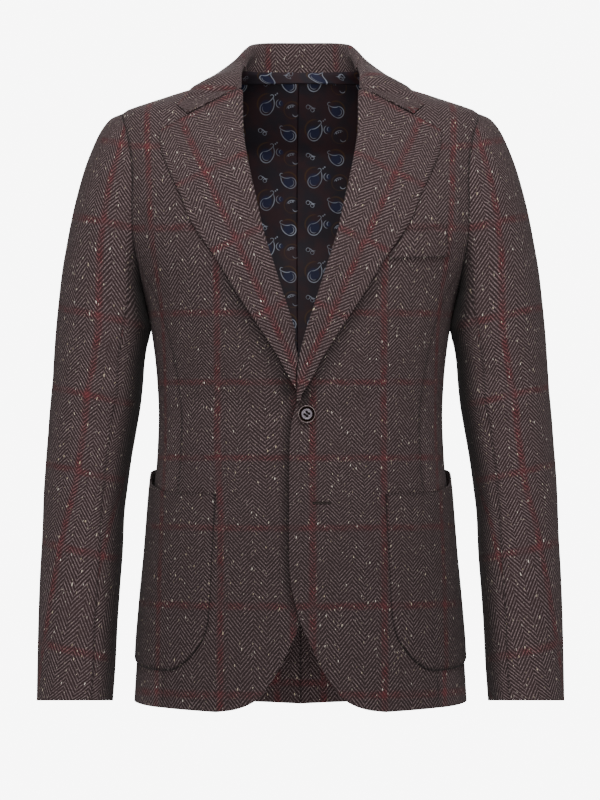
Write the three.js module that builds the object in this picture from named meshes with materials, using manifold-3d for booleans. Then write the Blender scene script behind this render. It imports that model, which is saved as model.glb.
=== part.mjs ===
// A two-button tweed blazer, hollow and hanging as worn. Millimetres; +X is the wearer's left,
// -Y the front and +Z up. The origin lies between the neck points, level with the collar's sides.
import * as THREE from "three";
import Module from "manifold-3d";

const wasm = await Module();
wasm.setup();

// Thicknesses and gaps
const TWEED = 2.0; // body and sleeve walls
const TURNED = 1.8; // lapels, collar leaf, pockets
const STAND = 1.5;
const LINING = 1.0;
const SEAM = 0.3; // open joint between two sewn pieces
const REST = 1.0; // gap under a piece that lies on another

// Body rings, seen from above: half width, depth before and behind the side line.
const ROUNDNESS = 2.25;
const BODY = table(["z", "half", "front", "back"], [
  [-740, 196, 135, 130],
  [-660, 191, 133, 128],
  [-600, 186, 131, 125],
  [-540, 180, 128, 120],
  [-480, 173, 123, 111],
  [-435, 168, 119, 103],
  [-382, 166, 118, 98],
  [-340, 168, 123, 103],
  [-295, 173, 131, 111],
  [-248, 182, 137, 119],
  [-210, 197, 137, 124],
  [-170, 213, 132, 128],
  [-125, 220, 121, 125],
  [-75, 221, 101, 114],
  [-50, 218, 86, 102],
  [-38, 214, 77, 95],
  [-28, 206, 68, 89],
  [-21, 189, 62, 85],
  [-14, 167, 57, 81],
  [-7, 146, 52, 77],
  [0, 123, 48, 73],
  [10, 95, 42, 67],
  [20, 68, 36, 60],
]);

// Edge of the left front from the hem's curve to the neck; the right one is its mirror image.
const FRONT_EDGE = table(["z", "x"], [
  [-723.1, 97.4],
  [-720.6, 78.5],
  [-714.5, 60.1],
  [-706.3, 47.8],
  [-695.7, 39.0],
  [-682, 29.8],
  [-667, 21.2],
  [-642, 9.7],
  [-628, 2.9],
  [-611, -2.9],
  [-594, -7.4],
  [-577, -10.9],
  [-548, -13.2],
  [-480, -13.2],
  [-422, -12.8],
  [-394, -10.9],
  [-373, -5.5],
  [-357, -1.5],
  [-336, 0],
  [-317, 2.3],
  [-293, 8],
  [-254, 20.3],
  [-211, 34],
  [-169, 47],
  [-143, 52.7],
  [-109, 60.3],
  [-80, 66.1],
  [-51, 70.1],
  [-5, 71.2],
  [18, 72],
]);

// Side seams as directions round the body, in degrees from straight ahead.
const SIDE_SEAMS = table(["z", "fore", "aft"], [
  [-740, 62, 120],
  [-400, 62, 120],
  [-295, 64.5, 117],
  [-245, 69.5, 111.5],
  [-202, 74.7, 106.5],
  [-190, 75.5, 106],
]);

// Armhole: an upright oval seen from the side.
const ARMHOLE = { z: -139, height: 109, depth: 64, foreEnd: -52, aftEnd: 55 };

// How far the hem rises or drops round the body.
const HEM = table(["angle", "z"], [
  [0, -722],
  [62, -720],
  [90, -716.5],
  [120, -721],
  [180, -728],
]);

// The fronts part by this much where they lap over each other.
const LAP = { outer: 1.4, inner: -1.2, full: 18, none: 60 };

// Lapel rows: where the roll starts on the front's edge, and the outer edge opposite.
const LAPEL = table(["row", "rollZ", "edgeX", "edgeZ"], [
  [0, -5.4, 162.5, -53],
  [1, -31, 161.1, -71.6],
  [2, -60, 148, -107.5],
  [3, -88, 137.4, -129.3],
  [4, -112, 129.2, -152.1],
  [5, -140, 115.3, -175.7],
  [6, -171, 94.5, -205.7],
  [7, -211, 70.4, -245.9],
  [8, -255, 44.1, -286],
  [9, -282, 31.5, -306],
  [10, -300, 24.6, -316.9],
  [11, -318, 16, -334],
  [12, -340, 7.5, -349],
  [13, -356, 3.2, -360.5],
]);
const LAPEL_BOTTOM = { left: 12.7, right: 12.6 };

// Section of a turned edge: p runs away from the roll, h stands off the cloth below.
const ROLL = table(["p", "h"], [
  [-1.5, -1.6],
  [-2.0, -0.2],
  [-1.7, 1.3],
  [-0.7, 2.5],
  [0.9, 3.2],
  [4.0, 3.6],
]);
const ROLL_END = ROLL[ROLL.length - 1];

// Collar fold from the centre back to the gorge, with its seat on the neck seam.
const FOLD = table(["row", "x", "y", "z", "seatAngle", "edgeAngle", "edgeZ", "edgeOff"], [
  [0, 0, 66, 54.5, 180, 180, 8, 3.2],
  [1, 22, 65, 54.5, 159.5, 160, 7.4, 3.2],
  [2, 41, 57.5, 53.5, 141.5, 142, 6, 3.2],
  [3, 54, 45, 50.5, 127.5, 128, 4.2, 3.2],
  [4, 60.5, 31, 44, 115.5, 116, 3, 3],
  [5, 65, 16, 36, 103.5, 103.5, 1.5, 2.8],
  [6, 67.6, 1, 26.5, 92, 91.5, 0.5, 2.6],
]);
// Collar leaf over the chest: inner end on the fold or the gorge, outer edge, both seen from the front.
const LEAF_FRONT = table(["row", "x", "z", "edgeX", "edgeZ"], [
  [0, 71.4, 14, 128, -5],
  [1, 71.3, 5, 132, -10],
  [2, 71.4, -2.6, 135.3, -14.2],
  [3, 69.6, -4.0, 136, -15],
  [4, 84, -10.4, 138.5, -18],
  [5, 99, -18.1, 140.8, -20.5],
  [6, 115, -26.3, 142.2, -22.2],
  [7, 130.6, -34.4, 143.1, -23.4],
]);

// Sleeve rings: outer and inner point seen from the front, half depth and forward shift.
const SLEEVE = table(["ox", "oz", "ix", "iz", "depth", "y"], [
  [306.8, -714.4, 217.8, -714.4, 46, -39],
  [306.3, -668, 214.8, -670, 47, -33],
  [305.5, -620, 212.8, -626, 48.5, -27],
  [304, -570, 210, -582, 50.5, -20.5],
  [301.5, -520, 207, -540, 52.5, -14.5],
  [300, -470, 205.5, -500, 54.5, -9],
  [297, -425, 201.5, -465, 56.5, -5],
  [293.5, -380, 197, -432, 58.5, -2],
  [290, -335, 191.5, -400, 60.5, 0.5],
  [287, -290, 186.5, -370, 62, 1.5],
  [283, -248, 183.8, -344, 63.5, 2],
  [279, -214, 182.2, -322, 64.5, 2],
  [273.5, -182, 179.4, -303, 65.5, 2],
  [267.5, -151, 176.4, -290, 66, 1.5],
  [260.5, -122, 178, -276.5, 66, 1],
  [252, -93, 180.2, -266, 66, 0.5],
  [243.5, -71, 181.8, -259.5, 65.5, 0],
  [233, -49.5, 182.6, -254, 65, 0],
  [221, -35.5, 183.2, -250.5, 64.5, 0],
]);
const CUFF_TILT = 0.06; // the front of the cuff is this much higher per mm of depth
const SLEEVE_SEAMS = { fore: -118, aft: 100 };

// Hip pocket outline: directions round the body, with top and bottom heights.
const POCKET = table(["angle", "bottom", "top"], [
  [42.6, -592, -473],
  [43.0, -618, -473],
  [44.7, -639, -473],
  [48.7, -657, -473],
  [53, -669, -473],
  [58, -676.5, -473],
  [63.5, -677.5, -472.8],
  [69, -676.5, -471],
  [75, -675, -468],
  [82, -672, -462.9],
  [88.5, -668.5, -453],
  [92, -662, -448.5],
  [94, -651, -447],
  [95, -636, -446.5],
]);
const POCKET_GAPE = { off: 3.2, from: 70, to: 92, low: -560, high: -449 };

const CHEST_POCKET = { top: [119.8, -170.4, 167.7, -163.9], bottom: [100, -203.3, 169.1, -199.7] };
const BUTTON = { x: 7.2, z: -381.1, radius: 9.8, hole: 1.1, spread: 2.3 };
const LINING_FOOT = -330;

function table(columns, rows) {
  return rows.map((row) => Object.fromEntries(columns.map((name, i) => [name, row[i]])));
}

// Smooth value of one column at a place in another, with no overshoot.
function at(rows, column, place, key = "z") {
  const n = rows.length;
  if (place <= rows[0][key]) return rows[0][column];
  if (place >= rows[n - 1][key]) return rows[n - 1][column];
  let i = 0;
  while (rows[i + 1][key] < place) i += 1;
  const slope = (k) => (rows[k + 1][column] - rows[k][column]) / (rows[k + 1][key] - rows[k][key]);
  const tangent = (k) => {
    if (k === 0) return slope(0);
    if (k === n - 1) return slope(n - 2);
    const a = slope(k - 1);
    const b = slope(k);
    return a * b <= 0 ? 0 : (2 * a * b) / (a + b);
  };
  const step = rows[i + 1][key] - rows[i][key];
  const t = (place - rows[i][key]) / step;
  const hold = (1 + 2 * t) * (1 - t) ** 2;
  return (
    hold * rows[i][column] +
    (1 - hold) * rows[i + 1][column] +
    step * (t * (1 - t) ** 2 * tangent(i) - t * t * (1 - t) * tangent(i + 1))
  );
}

const mix = (a, b, t) => a + (b - a) * t;
const add = (a, b, k = 1) => a.map((v, i) => v + k * b[i]);
const blend = (a, b, t) => a.map((v, i) => mix(v, b[i], t));
const cross = (a, b) => [
  a[1] * b[2] - a[2] * b[1],
  a[2] * b[0] - a[0] * b[2],
  a[0] * b[1] - a[1] * b[0],
];
const unit = (a) => a.map((v) => v / Math.hypot(...a));
const smooth = (t) => {
  const c = Math.min(1, Math.max(0, t));
  return c * c * (3 - 2 * c);
};
const range = (count) => Array.from({ length: count }, (_, i) => i);

// Point of the body's outer face at a direction (degrees) and height.
function bodyFace(angle, z) {
  const turn = (angle * Math.PI) / 180;
  const s = Math.sin(turn);
  const c = Math.cos(turn);
  const depth = at(BODY, c > 0 ? "front" : "back", z);
  const across = (Math.abs(s) / at(BODY, "half", z)) ** ROUNDNESS;
  const reach = (across + (Math.abs(c) / depth) ** ROUNDNESS) ** (-1 / ROUNDNESS);
  return [reach * s, -reach * c, z];
}

// The same point moved out along the face's normal.
function body(angle, z, off) {
  const around = add(bodyFace(angle + 0.05, z), bodyFace(angle - 0.05, z), -1);
  const up = add(bodyFace(angle, z + 0.2), bodyFace(angle, z - 0.2), -1);
  return add(bodyFace(angle, z), unit(cross(around, up)), off);
}

// Direction of a point given by x on the front, or by y beside the armhole.
function angleAtX(x, z) {
  const part = Math.min(0.9999, Math.abs(x) / at(BODY, "half", z));
  const y = at(BODY, "front", z) * (1 - part ** ROUNDNESS) ** (1 / ROUNDNESS);
  return (Math.atan2(x, y) * 180) / Math.PI;
}
function angleAtY(y, z) {
  const part = Math.abs(y) / at(BODY, y < 0 ? "front" : "back", z);
  const x = at(BODY, "half", z) * (1 - part ** ROUNDNESS) ** (1 / ROUNDNESS);
  return 90 + (Math.atan2(y, x) * 180) / Math.PI;
}

// Lift of a front near its lapped edge; side 1 is the wearer's left, which lies outside.
function lap(x, side) {
  const near = 1 - smooth((x - LAP.full) / (LAP.none - LAP.full));
  return near * (side > 0 ? LAP.outer : LAP.inner);
}

// Closed wall between two grids of points, grid[v][u], the outer one first.
function wall(outer, inner) {
  const rows = outer.length;
  const cols = outer[0].length;
  const place = [outer, inner].flat(3);
  const one = rows * cols;
  const index = [];
  const quad = (a, b, c, d) => index.push(a, b, c, a, c, d);
  for (let v = 0; v + 1 < rows; v += 1)
    for (let u = 0; u + 1 < cols; u += 1) {
      const a = v * cols + u;
      quad(a, a + 1, a + cols + 1, a + cols);
      quad(one + a, one + a + cols, one + a + cols + 1, one + a + 1);
    }
  const rim = [
    ...range(cols - 1),
    ...range(rows - 1).map((v) => v * cols + cols - 1),
    ...range(cols - 1).map((u) => one - 1 - u),
    ...range(rows - 1).map((v) => (rows - 1 - v) * cols),
  ];
  rim.forEach((a, k) => {
    const b = rim[(k + 1) % rim.length];
    quad(b, a, one + a, one + b);
  });
  return geometry(place, index);
}

// Wall of even thickness round one grid, measured along the grid's own normals.
function shell(grid, thickness) {
  const offset = (k) =>
    grid.map((row, v) =>
      row.map((p, u) => {
        const across = add(row[Math.min(row.length - 1, u + 1)], row[Math.max(0, u - 1)], -1);
        const above = grid[Math.min(grid.length - 1, v + 1)][u];
        const along = add(above, grid[Math.max(0, v - 1)][u], -1);
        return add(p, unit(cross(across, along)), k);
      }),
    );
  return wall(offset(thickness / 2), offset(-thickness / 2));
}

// Wall on the body's face: spots[v][u] gives direction, height and how far the outer side stands off.
function bodyWall(spots, thickness, side = 1) {
  const face = (k) =>
    sided(spots.map((row) => row.map(([angle, z, off]) => body(angle, z, off - k))), side);
  return wall(face(0), face(thickness));
}

function geometry(place, index) {
  const made = new THREE.BufferGeometry();
  made.setAttribute("position", new THREE.Float32BufferAttribute(place, 3));
  made.setIndex(index);
  made.computeVertexNormals();
  return made;
}

// The other side of the body: mirrored, with the columns turned round so that it still faces out.
function mirror(grid) {
  return grid.map((row) => row.map(([x, y, z]) => [-x, y, z]).reverse());
}
const sided = (grid, side) => (side > 0 ? grid : mirror(grid));

// Half depth of the armhole at a height.
function armholeY(z) {
  const t = (z - ARMHOLE.z) / ARMHOLE.height;
  return ARMHOLE.depth * Math.sqrt(Math.max(0, 1 - t * t));
}
const armholeTop = ARMHOLE.z + ARMHOLE.height;
const armholeZ = (y) =>
  ARMHOLE.z - ARMHOLE.height * Math.sqrt(1 - (y / ARMHOLE.depth) ** 2);
const seamAngle = (gap, reach) => ((gap / 2 / reach) * 180) / Math.PI;
const SIDE_GAP = seamAngle(SEAM, 165);

// Outer limit of a front or a back at a height: side seam, then armhole, then shoulder seam.
function foreLimit(z) {
  if (z < armholeZ(ARMHOLE.foreEnd)) return at(SIDE_SEAMS, "fore", z) - SIDE_GAP;
  if (z < armholeTop) return Math.min(angleAtY(-armholeY(z), z), 90 - SIDE_GAP);
  return 90 - SIDE_GAP;
}
function aftLimit(z) {
  if (z < armholeZ(ARMHOLE.aftEnd)) return at(SIDE_SEAMS, "aft", z) + SIDE_GAP;
  if (z < armholeTop) return Math.max(angleAtY(armholeY(z), z), 90 + SIDE_GAP);
  return 90 + SIDE_GAP;
}

// Rows of points, from hem to neck; the panels share them where they are sewn together.
const WAIST_ROWS = [-430, -400, -373, -345, -317, -288, -258];
const ARM_ROWS = [-178, -150, -120, -92, -68, -52, -43, -37, -33, -30];
const foreRows = [mix(-258, armholeZ(ARMHOLE.foreEnd), 0.5), armholeZ(ARMHOLE.foreEnd)];
const aftRows = [mix(-258, armholeZ(ARMHOLE.aftEnd), 0.5), armholeZ(ARMHOLE.aftEnd)];
const FRONT_ROWS = [
  -723.1, -721.2, -717.8, -710.5, -700, -683, -660, -632, -604, -577, -540, -500, -465,
  ...WAIST_ROWS, ...foreRows, ...ARM_ROWS, -26, -21, -14, -8, -2, 4, 10, 16,
];
const SIDE_ROWS = [-728, -690, -645, -600, -555, -510, -470, ...WAIST_ROWS];
const BACK_ROWS = [...SIDE_ROWS, ...aftRows, ...ARM_ROWS, -26, -20, -10, 0, 9, 18];

function front(side) {
  const cols = 9;
  const spots = FRONT_ROWS.map((z) => {
    const inner = angleAtX(at(FRONT_EDGE, "x", z), z);
    const outerZ = z + 3.1 * smooth((-600 - z) / 123);
    const outer = foreLimit(outerZ);
    return range(cols + 1).map((u) => {
      const angle = mix(inner, outer, u / cols);
      const height = mix(z, outerZ, u / cols);
      return [angle, height, lap(bodyFace(angle, height)[0], side)];
    });
  });
  return bodyWall(spots, TWEED, side);
}

const BACK_COLS = 8;
const backCentre = 180 - seamAngle(SEAM, 125);
function back(side) {
  const spots = BACK_ROWS.map((z) =>
    range(BACK_COLS + 1).map((u) => {
      const angle = mix(aftLimit(z), backCentre, u / BACK_COLS);
      const drop = (at(HEM, "z", angle, "angle") + 728) * smooth((-600 - z) / 128);
      return [angle, z + drop, 0];
    }),
  );
  return bodyWall(spots, TWEED, side);
}

// Side body, whose top edge is the lower arc of the armhole.
function sideBody(side) {
  const cols = 8;
  const columns = range(cols + 1).map((u) => {
    const t = u / cols;
    const turn = (z) =>
      mix(at(SIDE_SEAMS, "fore", z) + SIDE_GAP, at(SIDE_SEAMS, "aft", z) - SIDE_GAP, t);
    let top = -230;
    for (let k = 0; k < 40; k += 1) top = mix(top, armholeZ(bodyFace(turn(top), top)[1]), 0.5);
    const foot = at(HEM, "z", turn(-720), "angle");
    const heights = [foot, ...SIDE_ROWS.slice(1), mix(-258, top, 0.5), top];
    return heights.map((z) => [turn(z), z, 0]);
  });
  const spots = columns[0].map((_, v) => columns.map((column) => column[v]));
  return bodyWall(spots, TWEED, side);
}

// Lapel: rolled round the front's edge and laid back over the front.
function lapel(side) {
  const last = side > 0 ? LAPEL_BOTTOM.left : LAPEL_BOTTOM.right;
  const steps = 17;
  const flat = 6;
  const lie = REST + 0.3 + TURNED / 2;
  const rows = range(steps + 1).map((k) => {
    const row = (1 - (k / steps) ** 0.9) * last;
    const rollZ = at(LAPEL, "rollZ", row, "row");
    const own = at(FRONT_EDGE, "x", rollZ);
    // the right lapel is cut off where the left front crosses it
    const crossing = side > 0 ? 0 : smooth((-284 - rollZ) / 18);
    const start = Math.max(own, crossing * (5.1 - own));
    const run = [at(LAPEL, "edgeX", row, "row") - start, at(LAPEL, "edgeZ", row, "row") - rollZ];
    const width = Math.hypot(...run);
    const spot = (p, h) => {
      const x = start + p * (p < 0 ? 1.7 : run[0] / width);
      const z = rollZ + (Math.max(0, p) * run[1]) / width;
      return body(angleAtX(x, z), z, h + lap(x, side));
    };
    const narrow = Math.min(1, width / 14);
    const turned = ROLL.map(({ p, h }, u) => {
      const [reach, rise] = blend([p, h], [(u / (ROLL.length - 1)) * ROLL_END.p, lie], crossing);
      return spot(reach > 0 ? reach * narrow : reach, rise);
    });
    const laid = range(flat).map((u) => {
      const t = (u + 1) / flat;
      const rise = mix(mix(ROLL_END.h, lie, crossing), lie, smooth(t * 1.6));
      return spot(mix(ROLL_END.p * narrow, width, t), rise);
    });
    return [...turned, ...laid];
  });
  return shell(sided(rows.reverse(), side), TURNED);
}

// Point of the neck seam, on top of the back's upper edge.
const neckSeat = (angle) => add(body(angle, 18, -TWEED / 2), [0, 0, 1.7]);

function collarStand() {
  const steps = 9;
  const half = range(steps + 1).map((k) => {
    const row = (k / steps) * 6;
    const value = (name) => at(FOLD, name, row, "row");
    const seat = neckSeat(value("seatAngle"));
    const fold = [value("x"), value("y"), value("z")];
    const out = unit([seat[0], seat[1], 0]);
    const top = add(add(fold, out, 1.9), [0, 0, -3.6]);
    return range(4).map((v) => add(blend(seat, top, v / 3), out, -0.8 * Math.sin((v / 3) * Math.PI)));
  });
  return shell(aroundBack(half), STAND);
}

// A full strip from the wearer's right to the left, from the half that starts at the centre back.
// Its columns run round the back so that the strip faces out.
function aroundBack(half) {
  const whole = [...half.slice().reverse(), ...half.slice(1).map((c) => c.map(([x, y, z]) => [-x, y, z]))];
  return range(whole[0].length).map((v) => whole.map((column) => column[v]));
}

// Collar leaf: turned over the fold behind the neck, then laid down over the chest as far as the gorge.
function collarLeaf() {
  const flat = 6;
  const lie = REST + TURNED / 2;
  const behind = range(9).map((k) => {
    const value = (name) => at(FOLD, name, (k / 8) * 6, "row");
    const fold = [value("x"), value("y"), value("z")];
    const edge = body(value("edgeAngle"), value("edgeZ"), value("edgeOff"));
    const out = unit([edge[0] - fold[0], edge[1] - fold[1], 0]);
    const root = add(add(fold, out, 1.2), [0, 0, -1.2]);
    // the first point hangs a little lower, inside the fold
    const turned = ROLL.map(({ p, h }, u) => add(add(root, out, p), [0, 0, u === 0 ? h - 1 : h]));
    const from = turned[ROLL.length - 1];
    const up = unit(cross(cross(out, [0, 0, 1]), add(edge, from, -1)));
    const laid = range(flat).map((j) => {
      const t = (j + 1) / flat;
      return add(blend(from, edge, t), up, 0.5 * Math.sin(Math.PI * t));
    });
    return [...turned, ...laid];
  });
  const before = LEAF_FRONT.map((row, k) => {
    const run = [row.edgeX - row.x, row.edgeZ - row.z];
    const width = Math.hypot(...run);
    const spot = (p, h) => {
      const z = row.z + (p * run[1]) / width;
      return body(angleAtX(row.x + (p * run[0]) / width, z), z, h);
    };
    // past the fold the leaf is sewn to the lapel along the gorge, and lies flat
    const sewn = smooth(k - 2);
    const bulge = 4.6 * (1 - smooth(k / 3));
    const turned = ROLL.map(({ p, h }, u) =>
      spot(mix(p, (u / (ROLL.length - 1)) * ROLL_END.p, sewn), mix(h, lie, sewn)),
    );
    const laid = range(flat).map((j) => {
      const t = (j + 1) / flat;
      const rise = mix(mix(ROLL_END.h, lie, sewn), lie, smooth(t * 1.4));
      return spot(mix(ROLL_END.p, width, t), rise + bulge * Math.sin(Math.PI * t));
    });
    return [...turned, ...laid];
  });
  return shell(aroundBack([...behind, ...before]).reverse(), TURNED);
}

// Sleeve wall between two lines along it, in degrees round its section. The last ring is sewn to
// the armhole.
function sleeve(side, from, to, cols) {
  const gap = seamAngle(SEAM, 46);
  const spot = (v, degrees) => {
    const turn = (degrees * Math.PI) / 180;
    const c = Math.cos(turn);
    const s = Math.sin(turn);
    if (v < SLEEVE.length) {
      const row = SLEEVE[v];
      const y = row.y + row.depth * s;
      const z = (row.oz + row.iz) / 2 + ((row.oz - row.iz) / 2) * c;
      const tilt = CUFF_TILT * smooth((-560 - row.oz) / 150);
      return [(row.ox + row.ix) / 2 + ((row.ox - row.ix) / 2) * c, y, z - tilt * (y - row.y)];
    }
    const y = ARMHOLE.depth * s;
    const z = ARMHOLE.z + ARMHOLE.height * c;
    const hole = bodyFace(angleAtY(y, z), z);
    return add(hole, unit(add(spot(v - 1, degrees), hole, -1)), 1);
  };
  const face = (depth) =>
    range(SLEEVE.length + 1).map((v) =>
      range(cols + 1).map((u) => {
        const turn = mix(from + gap, to - gap, u / cols);
        const around = add(spot(v, turn + 2), spot(v, turn - 2), -1);
        const up = add(spot(Math.min(SLEEVE.length, v + 1), turn), spot(Math.max(0, v - 1), turn), -1);
        return add(spot(v, turn), unit(cross(around, up)), -depth);
      }),
    );
  return wall(sided(face(0), side), sided(face(TWEED), side));
}

function hipPocket(side) {
  const rows = 8;
  const spots = range(rows + 1).map((v) =>
    POCKET.map(({ angle, bottom, top }) => {
      const z = mix(bottom, top, v / rows);
      const gape =
        smooth((angle - POCKET_GAPE.from) / (POCKET_GAPE.to - POCKET_GAPE.from)) *
        smooth((z - POCKET_GAPE.low) / (POCKET_GAPE.high - POCKET_GAPE.low));
      return [angle, z, REST + TURNED + POCKET_GAPE.off * gape];
    }),
  );
  return bodyWall(spots, TURNED, side);
}

function chestPocket() {
  const { top, bottom } = CHEST_POCKET;
  const spots = range(4).map((v) =>
    range(7).map((u) => {
      const x = mix(mix(bottom[0], bottom[2], u / 6), mix(top[0], top[2], u / 6), v / 3);
      const z = mix(mix(bottom[1], bottom[3], u / 6), mix(top[1], top[3], u / 6), v / 3);
      return [angleAtX(x, z), z, REST + TURNED];
    }),
  );
  return bodyWall(spots, TURNED);
}

// Upper back lining, made from the back's own rows moved in; the left one laps over the right at
// the centre as a pleat.
function lining(side) {
  const rows = BACK_ROWS.filter((z) => z > LINING_FOOT && z < 10 && (z < -36 || z > -25));
  const spots = [LINING_FOOT, ...rows, 12].map((z) =>
    range(BACK_COLS).map((k) => {
      const u = k + 1;
      const end = u === BACK_COLS ? (side > 0 ? 2.2 : -4) : 0;
      const angle = mix(aftLimit(z), backCentre, u / BACK_COLS) + end;
      const over = side > 0 ? 1.6 * smooth((angle - 160) / 14) : 0;
      return [angle, z, -TWEED - REST - 1.6 * smooth((z + 75) / 30) - over];
    }),
  );
  return bodyWall(spots, LINING, side);
}

function liningBand() {
  const spots = [12.8, 16.2].map((z) =>
    range(15).map((u) => [mix(104, 256, u / 14), z, -TWEED - REST]),
  );
  return bodyWall(spots, LINING);
}

// Four-hole button with a raised rim and a dished middle, on the outer front.
function button() {
  const { radius, hole, spread } = BUTTON;
  const profile = [
    [0, 0],
    [radius - 1.6, 0],
    [radius - 0.3, 0.9],
    [radius, 2.2],
    [radius - 0.6, 3.5],
    [radius - 1.6, 4],
    [radius - 2.6, 3.6],
    [radius - 3.3, 2.7],
    [radius - 5, 2.3],
    [0, 2.1],
  ];
  let made = wasm.Manifold.revolve([profile], 32);
  for (const [x, y] of [[1, 1], [1, -1], [-1, 1], [-1, -1]]) {
    const drill = wasm.Manifold.cylinder(8, hole, hole, 8);
    made = made.subtract(drill.translate([x * spread, y * spread, -2]));
  }
  const mesh = made.getMesh();
  const made3 = geometry(Array.from(mesh.vertProperties), Array.from(mesh.triVerts));
  const angle = angleAtX(BUTTON.x, BUTTON.z);
  const seat = body(angle, BUTTON.z, LAP.outer + 0.45);
  const out = new THREE.Vector3(...add(body(angle, BUTTON.z, 1), body(angle, BUTTON.z, 0), -1));
  const turn = new THREE.Quaternion().setFromUnitVectors(new THREE.Vector3(0, 0, 1), out.normalize());
  made3.applyQuaternion(turn);
  made3.translate(...seat);
  return made3;
}

const group = new THREE.Group();
function piece(name, shape, color, roughness = 0.95) {
  const material = new THREE.MeshStandardMaterial({ color, roughness, metalness: 0 });
  const mesh = new THREE.Mesh(shape, material);
  mesh.name = name;
  group.add(mesh);
}

const CLOTH = 0x40332f;
const FACING = 0x45383a;
for (const [word, side] of [["left", 1], ["right", -1]]) {
  piece(`front_${word}`, front(side), CLOTH);
  piece(`side_${word}`, sideBody(side), CLOTH);
  piece(`back_${word}`, back(side), CLOTH);
  piece(`lapel_${word}`, lapel(side), FACING);
  piece(`sleeve_${word}_top`, sleeve(side, SLEEVE_SEAMS.fore, SLEEVE_SEAMS.aft, 12), CLOTH);
  piece(`sleeve_${word}_under`, sleeve(side, SLEEVE_SEAMS.aft, 360 + SLEEVE_SEAMS.fore, 8), CLOTH);
  piece(`pocket_${word}`, hipPocket(side), CLOTH);
  piece(`lining_${word}`, lining(side), 0x14131c, 0.5);
}
piece("collar_stand", collarStand(), FACING);
piece("collar_leaf", collarLeaf(), FACING);
piece("pocket_chest", chestPocket(), CLOTH);
piece("lining_band", liningBand(), 0x14131c, 0.5);
piece("button", button(), 0x2c211f, 0.35);

export default group;
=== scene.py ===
"""Tweed blazer with a windowpane check, filled out and hanging as worn.

The cloth pieces are thin shells on the frame's own rings, edges and seams. Creases, seams, stitching,
weave and lining print are worked out here. The tables are in millimetres, in the frame's axes:
+X is the wearer's left, -Y the front and +Z up. Only what goes into a mesh is in metres.
"""

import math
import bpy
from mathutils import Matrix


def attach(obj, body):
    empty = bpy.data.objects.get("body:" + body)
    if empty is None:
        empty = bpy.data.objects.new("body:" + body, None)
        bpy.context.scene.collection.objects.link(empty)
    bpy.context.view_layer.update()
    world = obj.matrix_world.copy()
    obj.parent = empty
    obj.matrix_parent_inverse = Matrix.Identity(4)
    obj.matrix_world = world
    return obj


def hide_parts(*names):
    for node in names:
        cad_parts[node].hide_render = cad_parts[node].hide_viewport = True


bl_info = {
    "name": "Tweed blazer",
    "version": (1, 0, 0),
    "blender": (4, 5, 0),
    "location": "3D View > Sidebar > Blazer",
    "description": "Makes a tweed blazer with notch lapels, patch pockets and a paisley lining",
    "category": "Object",
}

import bpy
import numpy as np
from mathutils import Vector

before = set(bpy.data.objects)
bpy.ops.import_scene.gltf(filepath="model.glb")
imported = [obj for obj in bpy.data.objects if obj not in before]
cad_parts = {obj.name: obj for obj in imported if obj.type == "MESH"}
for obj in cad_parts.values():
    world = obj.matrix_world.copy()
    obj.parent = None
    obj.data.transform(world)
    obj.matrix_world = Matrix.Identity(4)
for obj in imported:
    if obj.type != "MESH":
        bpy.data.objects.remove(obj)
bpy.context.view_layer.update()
MM = 0.001


# ---------------------------------------------------------------- sizes


def table(columns, rows):
    """Columns of a table by name, each as an array."""
    return dict(zip(columns.split(), np.array(rows, float).T))


TWEED = 2.0
TURNED = 1.8
STAND = 1.5
LINING = 1.0
SEAM = -0.4  # the sewn edges run a little past each other
REST = 1.0

# Body rings seen from above: half width, depth before and behind the side line.
ROUNDNESS = 2.25
BODY = table("z half front back", [
    (-740, 196, 135, 130), (-660, 191, 133, 128), (-600, 186, 131, 125), (-540, 180, 128, 120),
    (-480, 173, 123, 111), (-435, 168, 119, 103), (-382, 166, 118, 98), (-340, 168, 123, 103),
    (-295, 173, 131, 111), (-248, 182, 137, 119), (-210, 197, 137, 124), (-170, 213, 132, 128),
    (-125, 220, 121, 125), (-75, 221, 101, 114), (-50, 218, 86, 102), (-38, 214, 77, 95),
    (-28, 206, 68, 89), (-21, 189, 62, 85), (-14, 167, 57, 81), (-7, 146, 52, 77),
    (0, 123, 48, 73), (10, 95, 42, 67), (20, 68, 36, 60),
])

# Edge of the left front from the hem's curve to the neck.
FRONT_EDGE = table("z x", [
    (-723.1, 97.4), (-720.6, 78.5), (-714.5, 60.1), (-706.3, 47.8), (-695.7, 39.0), (-682, 29.8),
    (-667, 21.2), (-642, 9.7), (-628, 2.9), (-611, -2.9), (-594, -7.4), (-577, -10.9),
    (-548, -13.2), (-480, -13.2), (-422, -12.8), (-394, -10.9), (-373, -5.5), (-357, -1.5),
    (-336, 0), (-317, 2.3), (-293, 8), (-254, 20.3), (-211, 34), (-169, 47), (-143, 52.7),
    (-109, 60.3), (-80, 66.1), (-51, 70.1), (-5, 71.2), (18, 72),
])

# Side seams as directions round the body, in degrees from straight ahead.
SIDE_SEAMS = table("z fore aft", [
    (-740, 62, 120), (-400, 62, 120), (-295, 64.5, 117), (-245, 69.5, 111.5), (-202, 74.7, 106.5),
    (-190, 75.5, 106),
])
ARM_Z, ARM_HEIGHT, ARM_DEPTH = -139.0, 109.0, 64.0
ARM_FORE, ARM_AFT = -52.0, 55.0
HEM = table("angle z", [(0, -722), (62, -720), (90, -716.5), (120, -721), (180, -728)])
LAP_OUTER, LAP_INNER, LAP_FULL, LAP_NONE = 1.4, -1.2, 18.0, 60.0

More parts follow.
